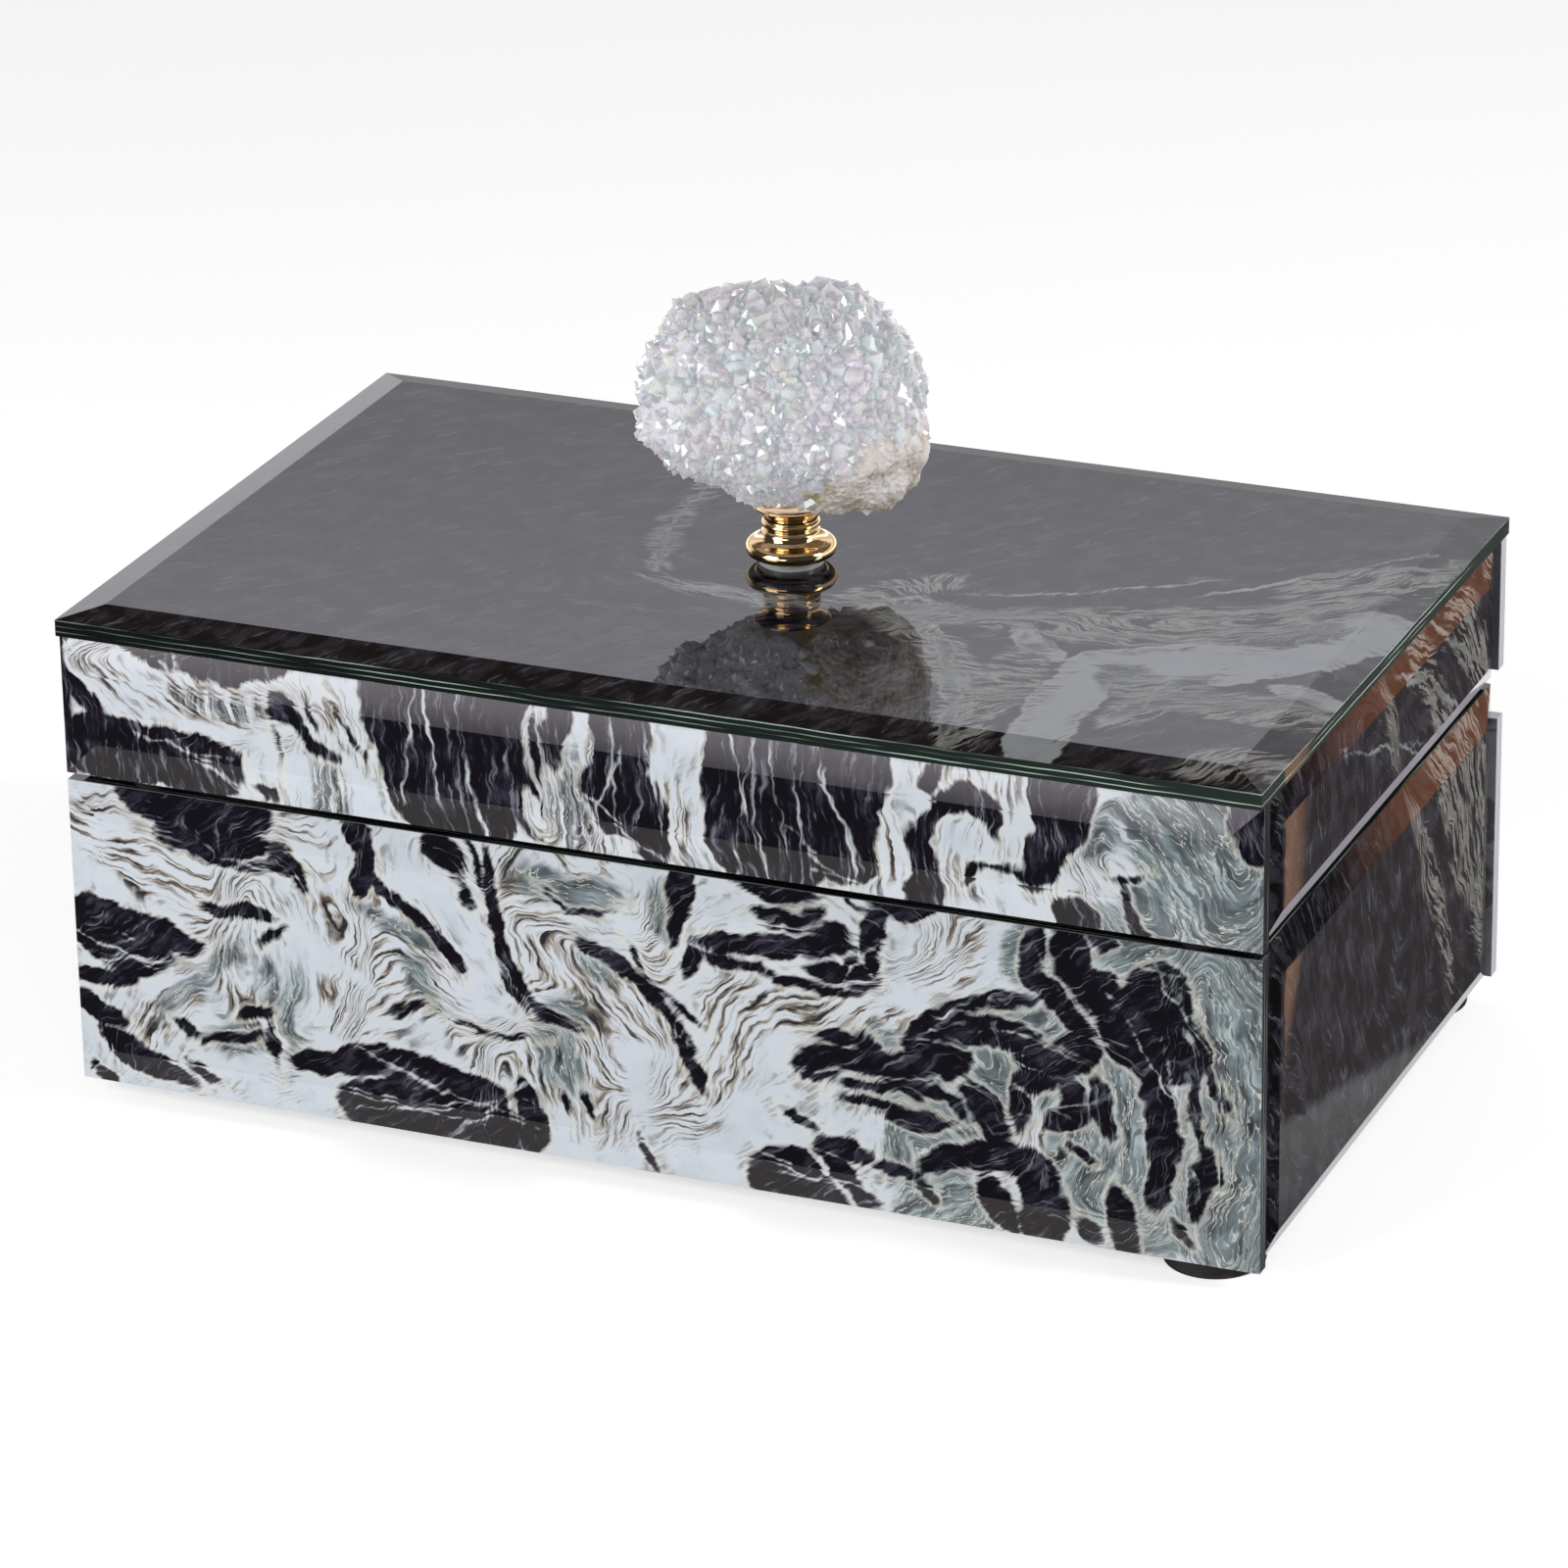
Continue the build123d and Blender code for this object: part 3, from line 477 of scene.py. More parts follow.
def marble_group(name, layout):
    """A node group: place on the face in millimetres in, print colour out.  layout is one of the prints."""
    grain_turn = layout["grain_turn"]
    grain_until = layout.get("grain_until", 0.0)
    all_dark = layout["ink"] is WHOLE_FACE
    tree = bpy.data.node_groups.new(name, "ShaderNodeTree")
    tree.interface.new_socket("Place", in_out="INPUT", socket_type="NodeSocketVector")
    tree.interface.new_socket("Color", in_out="OUTPUT", socket_type="NodeSocketColor")
    graph = Graph(tree)
    place = graph.add("NodeGroupInput").outputs[0]

    swirl = graph.noise(place, 0.085, 2.5, 0.55, colour=True)
    swirl = graph.scaled(graph.vector("SUBTRACT", swirl, (0.5, 0.5, 0.5)), 6.0)
    ripple = graph.noise(place, 0.36, 2.0, 0.5, colour=True)
    ripple = graph.scaled(graph.vector("SUBTRACT", ripple, (0.5, 0.5, 0.5)), 1.3)
    warped = graph.vector("ADD", graph.vector("ADD", place, swirl), ripple)
    warped = graph.vector("MULTIPLY", warped, (1, 1, 0))
    x, y, _ = graph.separate(warped)[:3]

    ink = stroke_field(graph, warped, layout["ink"], 1.2)
    white = stroke_field(graph, warped, layout["white"], 0.5)
    grey = stroke_field(graph, warped, layout["grey"], 2.5)
    smoke = stroke_field(graph, warped, layout["smoke"], 2.0)
    field = graph.math("MAXIMUM", ink, graph.times(white, -1.0))

    # Threads are drawn out along the outline of the ink, as poured paint is: they change fast across it
    # and slowly along it.
    slow_x = graph.times(x, 0.085)
    slow_y = graph.times(y, 0.085)
    flow = current(graph, warped, layout["flow"], grain_turn)
    thread = graph.noise(graph.combine(graph.times(flow, 0.42), slow_x, slow_y), 1.0, 3.0, 0.55)
    fine_thread = graph.noise(graph.combine(graph.times(flow, 0.75), slow_y, slow_x), 1.3, 3.0, 0.55)
    drift = graph.noise(place, 0.11, 2.0, 0.5)
    grain = graph.local(warped, (0, 0, 0), grain_turn, (10.0, 1.0, 1.0))
    fibre = graph.noise(grain, 0.75, 4.0, 0.62)
    cloud = graph.noise(place, 0.14, 3.0, 0.6)

    # The ink is cloudy, with fine pale wisps.
    haze = graph.step(graph.times(fibre, cloud), 0.22, 0.42)
    if all_dark:
        haze = graph.step(cloud, 0.40, 0.75)
    dark = graph.mix(haze, INK, INK_HAZE)
    wisps = graph.step(graph.times_plus(cloud, 0.25, fine_thread), 0.70, 0.84)
    dark = graph.mix(graph.times(wisps, 0.5), dark, WISP)
    glints = graph.step(fibre, 0.58, 0.78)
    dark = graph.mix(graph.times(glints, layout["streaks"]), dark, WISP)

    # The white is veined with thin smoky threads, most of all in the smoky zones and beside the ink.
    phase = graph.plus(graph.times(flow, 3.4), graph.times(drift, 16.0))
    phase = graph.times_plus(fine_thread, 9.0, phase)
    wave = graph.math("SINE", phase)
    line = graph.step(graph.times_plus(graph.minus(thread, 0.5), 2.5, wave), 0.25, 0.85)
    band = graph.step(thread, 0.50, 0.60)
    beside = graph.times(graph.step(field, 4.0, 0.5), graph.step(cloud, 0.44, 0.56))
    smoky = graph.step(graph.times_plus(cloud, -7.0, smoke), -0.6, -3.6)
    zone = graph.math("MAXIMUM", graph.times(beside, 0.7), smoky)
    pale = graph.mix(graph.step(cloud, 0.35, 0.75), PAPER, rgb("b9c3ca"))
    tone = graph.times_plus(wave, 0.022, fine_thread)
    veined = graph.ramp(tone, [(0.34, rgb("2a282d")), (0.41, OUTLINE), (0.465, SMOKE), (0.52, PAPER)])
    pale = graph.mix(zone, pale, veined)

    # Grey-green veins: a soft body with streaks of both other colours in it.
    striped = graph.step(x, grain_until + 6.0, grain_until - 6.0)
    curled = graph.ramp(thread, [(0.38, TEAL_SILK[0]), (0.50, TEAL_SILK[1]), (0.64, TEAL_SILK[2])])
    straight = graph.ramp(fibre, [(0.42, STRIPED_SILK[0]), (0.50, STRIPED_SILK[1]), (0.60, STRIPED_SILK[2])])
    vein = graph.mix(striped, curled, straight)
    vein = graph.mix(graph.times(graph.times(line, band), 0.75), vein, TEAL_SILK[0])
    curl = graph.step(graph.math("ABSOLUTE", graph.minus(fine_thread, 0.47)), 0.022, 0.006)
    vein = graph.mix(graph.times(curl, 0.8), vein, RIM)
    greyness = graph.step(graph.times_plus(graph.minus(thread, 0.5), 6.0, grey), 1.0, -1.2)
    pale = graph.mix(graph.times(greyness, 0.9), pale, vein)

    # A pale line borders the ink, which frays at its edge.
    fray = graph.times_plus(graph.plus(fibre, fine_thread), 1.4, -1.4)
    ragged = graph.plus(field, fray)
    border = graph.times(graph.step(ragged, -0.2, 0.35), graph.step(ragged, 1.2, 0.4))
    pale = graph.mix(graph.times(border, 0.45), pale, RIM)
    amount = graph.step(ragged, 0.4, -0.4)
    if all_dark:
        mist = graph.step(graph.times_plus(cloud, 0.3, thread), 0.60, 0.80)
        dark = graph.mix(graph.times(mist, 0.14), dark, WISP)
        hair = graph.step(graph.math("ABSOLUTE", graph.minus(thread, 0.5)), 0.012, 0.002)
        hair = graph.times(hair, graph.step(cloud, 0.44, 0.60))
        dark = graph.mix(graph.times(hair, 0.35), dark, WISP)
        stops = [(0.40, INK), (0.46, rgb("4a4a4b")), (0.50, rgb("a9a8a3")), (0.58, rgb("cfcfca"))]
        stops.append((0.66, rgb("6c6c6b")))
        lace = graph.ramp(graph.times_plus(wave, 0.02, fine_thread), stops)
        dark = graph.mix(graph.times(greyness, 0.9), dark, lace)
    colour = graph.mix(amount, pale, dark)
    output = graph.add("NodeGroupOutput")
    graph.tree.links.new(colour, output.inputs[0])
    return tree


REFRACTION_SHIFT_MM = 5.0       # how far the print seems to move where the bevel tilts the view
EDGE_LIMIT = 0.5                # cosine below which the surface is the ground edge of the glass
EDGE_DARK = rgb("0b0f0e")
EDGE_PALE = rgb("c9c8ce")
RIM_GREY = rgb("b2b4ba")
# Painted shade: the side and top panels get less light than the front, so their print is multiplied darker by
# these.
SIDE_PAINTED_SHADE = rgb("b4b2b0")
TOP_PAINTED_SHADE = rgb("c8c8c6")


def marbled_glass(node, group, axes, corner, painted_glow_ends, tint=None, edge_body=EDGE_DARK, foot=None):
    """Glass with the print behind it.  axes point out, right and up, and corner is the print's zero point.

    The ground edge carries painted light: fine pale lines of painted reflection along it, and a painted glow
    that brings out its green, as strong at either end of the panel as its two end strengths say.
    foot is the colour of the light that the bevel along the bottom catches.
    """
    outward, right, up = axes
    low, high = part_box(node)
    material, graph, shader = new_material(f"marbled_{node}")
    coordinates = graph.add("ShaderNodeTexCoord")
    point = graph.scaled(graph.vector("SUBTRACT", coordinates.outputs["Object"], corner), 1000.0)
    normal = coordinates.outputs["Normal"]
    shift = graph.scaled(normal, -REFRACTION_SHIFT_MM)
    seen = graph.vector("ADD", point, shift)
    place = graph.combine(graph.vector("DOT_PRODUCT", seen, right), graph.vector("DOT_PRODUCT", seen, up))
    print_node = graph.add("ShaderNodeGroup", node_tree=group)
    graph.feed(print_node.inputs[0], place)
    colour = print_node.outputs[0]
    # The tint multiplies the print darker as painted shade on panels that get less light.
    if tint:
        colour = graph.mix(1.0, colour, tint, "MULTIPLY")

    facing = graph.vector("DOT_PRODUCT", normal, outward)
    edge = graph.step(facing, EDGE_LIMIT + 0.1, EDGE_LIMIT, smooth=False)
    back = min(low.dot(outward), high.dot(outward)) - Vector(corner).dot(outward)
    depth = graph.plus(graph.vector("DOT_PRODUCT", point, outward), -1000.0 * back)
    # Painted reflection and painted glow on the ground edge: pale lines in layers, and more of the glass's
    # green where the glow is stronger.
    wander = graph.noise(graph.scaled(point, 0.05), 1.0, 2.0, 0.5)
    comb = graph.math("SINE", graph.times_plus(wander, 5.0, graph.times(depth, 5.5)))
    layered = graph.vector("ADD", graph.scaled(point, 0.03), graph.combine(depth, depth, depth))
    broken = graph.noise(layered, 1.0, 2.0, 0.5)
    start, end = painted_glow_ends
    span = 1000.0 * max(abs((high - low).dot(right)), 0.001)
    strength = graph.times_plus(graph.vector("DOT_PRODUCT", point, right), (end - start) / span, start)
    painted_reflection_line = graph.times(graph.step(comb, 0.70, 1.0), graph.step(broken, 0.40, 0.60))
    green = graph.mix(graph.times(graph.math("POWER", strength, 3.0), 0.16), edge_body, rgb("6c8578"))
    painted_reflection_colour = rgb("cfe6da") if edge_body is EDGE_DARK else rgb("54565a")
    green = graph.mix(graph.times(painted_reflection_line, strength), green, painted_reflection_colour)
    dimmed = graph.mix(0.45, graph.mix(1.0, colour, rgb("a09fa0"), "MULTIPLY"), rgb("77777c"))
    ground = graph.mix(graph.step(facing, -0.4, -0.6), green, dimmed)
    if outward.y < 0:
        # On the front panels the front part of the top edge catches the light in the shut gap.
        rim = graph.times(graph.step(depth, 2.7, 3.5), graph.step(graph.separate(normal)[2], 0.5, 0.6))
        ground = graph.mix(rim, ground, RIM_GREY)
    colour = graph.mix(edge, colour, ground)
    if foot:
        under = graph.step(graph.separate(normal)[2], -0.12, -0.22)
        colour = graph.mix(graph.times(under, graph.step(edge, 0.5, 0.0)), colour, foot)
    smudge = graph.noise(graph.scaled(point, 0.02), 2.0, 3.0, 0.6)
    graph.set(shader, {
        "Base Color": colour,
        "Roughness": 0.55,
        "Specular IOR Level": 0.0,
        "Coat Weight": 1.0,
        "Coat IOR": 1.5,
        "Coat Roughness": 0.008,
        "Coat Normal": graph.bump(smudge, 0.02, 0.0004),
    })
    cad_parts[node].data.materials.clear()
    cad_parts[node].data.materials.append(material)


def glass_materials():
    low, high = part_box("glass_body_front")
    bottom = low.z
    front_corner = (low.x, low.y, bottom)
    _, back_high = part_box("glass_body_back")
    back_corner = (high.x, back_high.y, bottom)
    x_axis, y_axis, z_axis = Vector((1, 0, 0)), Vector((0, 1, 0)), Vector((0, 0, 1))

    lid_front = marble_group("marble_lid_front", LID_FRONT)
    body_front = marble_group("marble_body_front", BODY_FRONT)
    side = marble_group("marble_side", SIDE)
    top = marble_group("marble_top", TOP)

    for part, print_group in (("body", body_front), ("lid", lid_front)):
        node = f"glass_{part}_front"
        marbled_glass(node, print_group, (-y_axis, x_axis, z_axis), front_corner, (0.3, 0.4))
    for part, print_group in (("body", body_front), ("lid", lid_front)):
        node = f"glass_{part}_back"
        axes = (y_axis, -x_axis, z_axis)
        marbled_glass(node, print_group, axes, back_corner, (0.35, 0.35), edge_body=EDGE_PALE)
    for part, foot in (("body", None), ("lid", rgb("aca6b0"))):
        node = f"glass_{part}_right"
        corner = (high.x, low.y, bottom)
        marbled_glass(node, side, (x_axis, y_axis, z_axis), corner, (0.9, 0.7), SIDE_PAINTED_SHADE, foot=foot)
        node = f"glass_{part}_left"
        corner = (low.x, back_high.y, bottom)
        marbled_glass(node, side, (-x_axis, -y_axis, z_axis), corner, (0.7, 0.9), SIDE_PAINTED_SHADE, foot=foot)
    corner = (cad_low.x, low.y, 0)
    marbled_glass("glass_lid_top", top, (z_axis, x_axis, y_axis), corner, (0.35, 0.85), TOP_PAINTED_SHADE)


glass_materials()


# ---- other materials ------------------------------------------------------------------------

def board_material():
    """Fibreboard sprayed satin black: orange peel, a little dust and rubbed spots."""
    material, graph, shader = new_material("black_board")
    place = object_place(graph)
    peel = graph.noise(place, 900.0, 2.0, 0.5)
    fibres = graph.noise(place, 260.0, 4.0, 0.6)
    rub = graph.step(graph.noise(place, 45.0, 5.0, 0.65), 0.60, 0.78)
    colour = graph.mix(fibres, rgb("141316"), rgb("232126"))
    colour = graph.mix(graph.times(rub, 0.45), colour, rgb("4a4038"))
    graph.set(shader, {
        "Base Color": colour,
        "Roughness": graph.times_plus(rub, 0.2, 0.45),
        "Normal": graph.bump(graph.plus(peel, fibres), 0.25, 0.0003),
    })
    return material


def velvet_material(name, deep, bright, tip):
    """Short-pile velvet: brushed patches, pile grain and a bright nap at grazing angles."""
    material, graph, shader = new_material(name)
    place = object_place(graph)
    brushed = graph.noise(place, 34.0, 4.0, 0.6, 0.8)
    pile = graph.noise(place, 2600.0, 2.0, 0.6)
    tufts = graph.cells(place, 1500.0)
    colour = graph.mix(graph.step(brushed, 0.35, 0.68), deep, bright)
    colour = graph.mix(graph.times(pile, 0.3), colour, tip)
    height = graph.plus(graph.times(pile, 0.6), graph.plus(tufts, brushed))
    graph.set(shader, {
        "Base Color": colour,
        "Roughness": 0.95,
        "Specular IOR Level": 0.15,
        "Sheen Weight": 0.8,
        "Sheen Roughness": 0.35,
        "Sheen Tint": tip,
        "Normal": graph.bump(height, 0.5, 0.0004),
    })
    return material


def rubber_material():
    """Matt dark rubber with moulding grain and dust in its pores."""
    material, graph, shader = new_material("foot_rubber")
    place = object_place(graph)
    grain = graph.noise(place, 1400.0, 3.0, 0.6)
    dust = graph.step(graph.noise(place, 120.0, 5.0, 0.7), 0.55, 0.75)
    colour = graph.mix(dust, rgb("1d1a18"), rgb("3a342f"))
    graph.set(shader, {
        "Base Color": colour,
        "Roughness": graph.times_plus(dust, 0.2, 0.6),
        "Normal": graph.bump(grain, 0.35, 0.0002),
    })
    return material


def polymer_material():
    """Clear soft polymer, slightly milky, as in bumper dots and cushion washers."""
    material, graph, shader = new_material("clear_polymer")
    place = object_place(graph)
    milk = graph.noise(place, 220.0, 3.0, 0.6)
    graph.set(shader, {
        "Base Color": graph.mix(milk, rgb("dfe3e2"), rgb("f3f3ee")),
        "Roughness": graph.times_plus(milk, 0.15, 0.15),
        "IOR": 1.48,
        "Transmission Weight": 0.45,
        "Normal": graph.bump(milk, 0.1, 0.0002),
    })
    return material


def metal_material(name, base, worn, roughness, axis_scale, tarnish):
    """Metal with fine tool lines along one direction, small scratches and patchy tarnish."""
    material, graph, shader = new_material(name)
    place = object_place(graph)
    lines = graph.noise(graph.vector("MULTIPLY", place, axis_scale), 1.0, 3.0, 0.6)
    scratch = graph.noise(place, 420.0, 5.0, 0.7, 1.5)
    patch = graph.step(graph.noise(place, 150.0, 4.0, 0.6), 0.45, 0.7)
    colour = graph.mix(graph.times(patch, tarnish), base, worn)
    height = graph.plus(lines, graph.times(scratch, 0.4))
    graph.set(shader, {
        "Base Color": colour,
        "Metallic": 1.0,
        "Roughness": graph.times_plus(graph.plus(scratch, patch), 0.06, roughness),
        "Normal": graph.bump(height, 0.12, 0.0002),
    })
    return material


def paint(material, slot, *nodes):
    """Gives CAD nodes a material.  slot is not used."""
    for node in nodes:
        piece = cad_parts[node]
        piece.data.materials.clear()
        piece.data.materials.append(material)


boards = [f"carcass_{place}_board" for place in ("front", "back", "left", "right", "base")]
boards += [f"lid_{place}_board" for place in ("front", "back", "left", "right", "top")]
paint(board_material(), "black_board", *boards)

feet = [f"foot_{end}_{side}" for end in ("front", "rear") for side in ("left", "right")]
paint(rubber_material(), "foot_rubber", *feet)

polymer = polymer_material()
paint(polymer, "clear_polymer", "lid_bumpers", "knob_cushion_washer")

BRUSHED_ALONG_X = (60.0, 9000.0, 9000.0)
TURNED = (4000.0, 4000.0, 9000.0)
hinge_brass = metal_material("hinge_brass", rgb("d8b066"), rgb("8a6532"), 0.22, BRUSHED_ALONG_X, 0.5)
hinge_parts = []
for side in ("left", "right"):
    hinge_parts += [f"hinge_{side}_{part}" for part in ("body_leaf", "lid_leaf", "pin")]
paint(hinge_brass, "hinge_brass", *hinge_parts)

screw_brass = metal_material("screw_brass", rgb("cfa65a"), rgb("7d5a2c"), 0.28, TURNED, 0.6)
paint(screw_brass, "screw_brass", "hinge_screws_body", "hinge_screws_lid")

screw_steel = metal_material("screw_steel", rgb("b9bcc0"), rgb("6d6f73"), 0.25, TURNED, 0.4)
paint(screw_steel, "screw_steel", "knob_screw", "knob_screw_washer")


# ---- mesh helpers -----------------------------------------------------------------------------

def new_piece(name, mesh_tool, material, body, slot, *stands_for, smooth=True):
    """Turns a bmesh into a piece that rides on a body and stands for the given CAD nodes."""
    mesh = bpy.data.meshes.new(name)
    bmesh.ops.recalc_face_normals(mesh_tool, faces=mesh_tool.faces)
    mesh_tool.to_mesh(mesh)
    mesh_tool.free()
    piece = bpy.data.objects.new(name, mesh)
    scene.collection.objects.link(piece)
    mesh.materials.append(material)
    mesh.polygons.foreach_set("use_smooth", [smooth] * len(mesh.polygons))
    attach(piece, body)
    if stands_for:
        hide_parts(*stands_for)
    return piece


# ---- finial ------------------------------------------------------------------------------------

def gold_material():
    """Polished gold plate with faint turning rings and hairline scratches."""
    material, graph, shader = new_material("polished_gold")
    place = object_place(graph)
    height = graph.separate(place)[2]
    rings = graph.noise(graph.combine(0.0, 0.0, graph.times(height, 9000.0)), 1.0, 2.0, 0.6)
    scratch = graph.noise(place, 900.0, 4.0, 0.7, 2.0)
    warm = graph.noise(place, 160.0, 2.0, 0.5)
    graph.set(shader, {
        "Base Color": graph.mix(warm, rgb("e4bd86"), rgb("f2d6a8")),
        "Metallic": 1.0,
        "Roughness": graph.times_plus(scratch, 0.08, 0.05),
        "Normal": graph.bump(graph.plus(rings, scratch), 0.06, 0.0001),
    })
    return material


def arc(start, through, end, steps):
    """Points on the circle through three (radius, height) points, without the first one."""
    (ax, ay), (bx, by), (cx, cy) = start, through, end
    d = 2 * (ax * (by - cy) + bx * (cy - ay) + cx * (ay - by))
    a2, b2, c2 = ax * ax + ay * ay, bx * bx + by * by, cx * cx + cy * cy
    ux = (a2 * (by - cy) + b2 * (cy - ay) + c2 * (ay - by)) / d
    uy = (a2 * (cx - bx) + b2 * (ax - cx) + c2 * (bx - ax)) / d
    radius = hypot(ax - ux, ay - uy)
    first, middle, last = (atan2(y - uy, x - ux) for x, y in (start, through, end))
    span = (last - first) % (2 * pi)
    if (middle - first) % (2 * pi) > span:
        span -= 2 * pi
    turns = [first + span * i / steps for i in range(1, steps + 1)]
    return [(ux + radius * cos(t), uy + radius * sin(t)) for t in turns]


def finial():
    """The turned base of the knob, lathed from its profile in millimetres above its foot."""
    low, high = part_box("knob_finial")
    rim = 7.75
    top = (high.z - low.z) / MM
    profile = [(0, 0), (6.7, 0)]
    profile += arc((6.7, 0), (7.1, 0.18), (7.4, 0.6), 4)
    profile += arc((7.4, 0.6), (9.2, 2.2), (7.9, 3.5), 18)
    profile += arc((7.9, 3.5), (6.5, 4.3), (5.9, 5.7), 12)
    profile += [(5.7, 5.85), (5.45, 6.05), (5.4, 6.2), (5.4, 6.4)]
    profile += arc((5.4, 6.4), (5.95, 7.2), (5.4, 8.0), 10)
    profile += [(5.4, 8.2)]
    profile += arc((5.4, 8.4), (6.2, 9.7), (rim - 0.25, top - 0.3), 12)
    profile += [(rim - 0.05, top - 0.2), (rim, top - 0.08), (rim - 0.1, top), (rim - 0.5, top)]
    profile += [(5.2, top - 1.6), (0, top - 1.6)]
    turned = bmesh.new()
    count = 96
    rows = []
    for radius, height in profile:
        z = low.z + height * MM
        if radius == 0:
            rows.append([turned.verts.new((0, 0, z))])
            continue
        angles = [2 * pi * i / count for i in range(count)]
        rows.append([turned.verts.new((radius * MM * cos(a), radius * MM * sin(a), z)) for a in angles])
    for lower, upper in zip(rows, rows[1:]):
        for i in range(count):
            j = (i + 1) % count
            corners = [lower[i % len(lower)], lower[j % len(lower)]]
            corners += [upper[j % len(upper)], upper[i % len(upper)]]
            turned.faces.new(dict.fromkeys(corners))
    return new_piece("turned_finial", turned, gold_material(), "lid", "polished_gold", "knob_finial")


finial()


# ---- quartz cluster ----------------------------------------------------------------------------

POINT_COUNT = 3400
CLUSTER_DEPTH = 0.0245
CLUSTER_TURN = radians(22.5)
PATCH_DIRECTION = Vector((0.66, -0.32, -0.68)).normalized()
# Each film: material name, film thickness in nanometres, and the colours of the painted iridescent glints on
# its facets.
FILMS = [
    ("druzy_quartz_rose", 330.0, ("f0bfe8", "dfe4f2", "f6f6fa", "f2d2ea", "fbeeb0")),
    ("druzy_quartz_cyan", 430.0, ("a4def2", "e6eef6", "b6f0e2", "f6f6fa", "b8d2f8")),
    ("druzy_quartz_lime", 540.0, ("bcebb8", "f0f2f0", "faf0b0", "dfe6f4", "e4c2f0")),
]

# The outline of the lump seen from the front: degrees anticlockwise from its right, and reach in mm.
CLUSTER_OUTLINE = [
    (0, 28.4), (28, 26.4), (48, 25.6), (64, 24), (80, 21.8), (96, 21.6), (112, 23), (128, 26.4),
    (142, 29.8), (160, 31), (178, 32.4), (192, 32.8), (206, 29.8), (222, 25.4), (240, 24), (270, 22.6),
    (296, 26.4), (312, 31.4), (326, 32.4), (340, 30.6), (350, 28.8), (360, 28.4),
]


def quartz_body(graph, place):
    milk = graph.noise(place, 260.0, 3.0, 0.6)
    return milk, graph.mix(milk, rgb("e6e5ee"), rgb("fbfafd"))


def quartz_material(name, film, painted_glint_colours):
    """Clear to milky quartz with a faint rainbow film, and painted iridescent glints: film colours painted
    into the base colour, differing from facet to facet.
    """
    material, graph, shader = new_material(name)
    coordinates = graph.add("ShaderNodeTexCoord")
    place, normal = coordinates.outputs["Object"], coordinates.outputs["Normal"]
    island = graph.add("ShaderNodeNewGeometry").outputs["Random Per Island"]
    facet = graph.vector("ADD", graph.scaled(normal, 2.3), graph.scaled(place, 160.0))
    # Painted iridescence: some facets get a pastel film colour painted into their base colour, as glints.
    hue = graph.noise(facet, 2.4, 1.0, 0.5)
    painted_iridescence = graph.ramp(hue, [(0.36 + 0.08 * i, rgb(tint)) for i, tint in enumerate(painted_glint_colours)])
    milk, body = quartz_body(graph, place)
    body = graph.mix(graph.times(island, 0.4), body, rgb("dddee8"))
    painted_iridescence_share = graph.step(graph.noise(facet, 5.0, 1.0, 0.5), 0.50, 0.60)
    colour = graph.mix(graph.times_plus(painted_iridescence_share, 0.6, 0.1), body, painted_iridescence)
    graph.set(shader, {
        "Base Color": colour,
        "Roughness": graph.times_plus(milk, 0.12, 0.03),
        "IOR": 1.6,
        "Subsurface Weight": 0.85,
        "Subsurface Radius": (1.0, 1.0, 1.1),
        "Subsurface Scale": 0.005,
        # A little light of its own stands for the light that real quartz passes on inside.
        "Emission Color": colour,
        "Emission Strength": 0.10,
        "Coat Weight": 0.5,
        "Coat Roughness": 0.02,
        "Thin Film Thickness": film,
        "Thin Film IOR": 1.7,
    })
    return material


def rock_material():
    """The stone under the crystals: milky quartz, and low on the right bare cream rock with brown stains."""
    material, graph, shader = new_material("quartz_matrix")
    place = object_place(graph)
    grains = graph.cells(place, 900.0)
    lumps = graph.noise(place, 260.0, 5.0, 0.65)
    stain = graph.step(graph.noise(place, 95.0, 3.0, 0.6), 0.55, 0.70)
    colour = graph.ramp(lumps, [(0.34, rgb("b8a493")), (0.44, rgb("dad0c8")), (0.58, rgb("e8e3e0"))])
    colour = graph.mix(graph.times(stain, 0.45), colour, rgb("c2b48a"))
    low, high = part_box("knob_crystal")
    offset = graph.vector("SUBTRACT", place, (0, 0, (low.z + high.z) / 2))
    patch = Matrix.Rotation(CLUSTER_TURN, 3, "Z") @ PATCH_DIRECTION
    near_patch = graph.vector("DOT_PRODUCT", graph.vector("NORMALIZE", offset), patch)
    ragged = graph.times_plus(graph.minus(lumps, 0.5), 0.25, near_patch)
    border = graph.times(graph.step(ragged, 0.74, 0.80), graph.step(ragged, 0.88, 0.82))
    flank = graph.step(graph.separate(offset)[2], -0.010, -0.016)
    colour = graph.mix(graph.times(graph.times(border, flank), 0.7), colour, rgb("b8a95c"))
    _, milky = quartz_body(graph, place)
    milky = graph.mix(0.5, milky, rgb("b9b9c4"))
    colour = graph.mix(graph.step(ragged, 0.80, 0.72), colour, milky)
    graph.set(shader, {
        "Base Color": colour,
        "Roughness": 0.6,
        # Painted glow: a little light of its own stands for the light that the milky stone passes on inside.
        "Emission Color": colour,
        "Emission Strength": 0.10,
        "Subsurface Weight": 0.25,
        "Subsurface Radius": (1.0, 0.9, 0.8),
        "Subsurface Scale": 0.0015,
        "Normal": graph.bump(graph.plus(grains, lumps), 0.7, 0.0006),
    })
    return material


def outline_reach(angle):
    """Reach of the outline at an angle in degrees, smooth between its points."""
    angle %= 360
    for (a, ra), (b, rb) in zip(CLUSTER_OUTLINE, CLUSTER_OUTLINE[1:]):
        if a <= angle <= b:
            share = (angle - a) / (b - a)
            share = share * share * (3 - 2 * share)
            return (ra + (rb - ra) * share) * MM
    return CLUSTER_OUTLINE[0][1] * MM


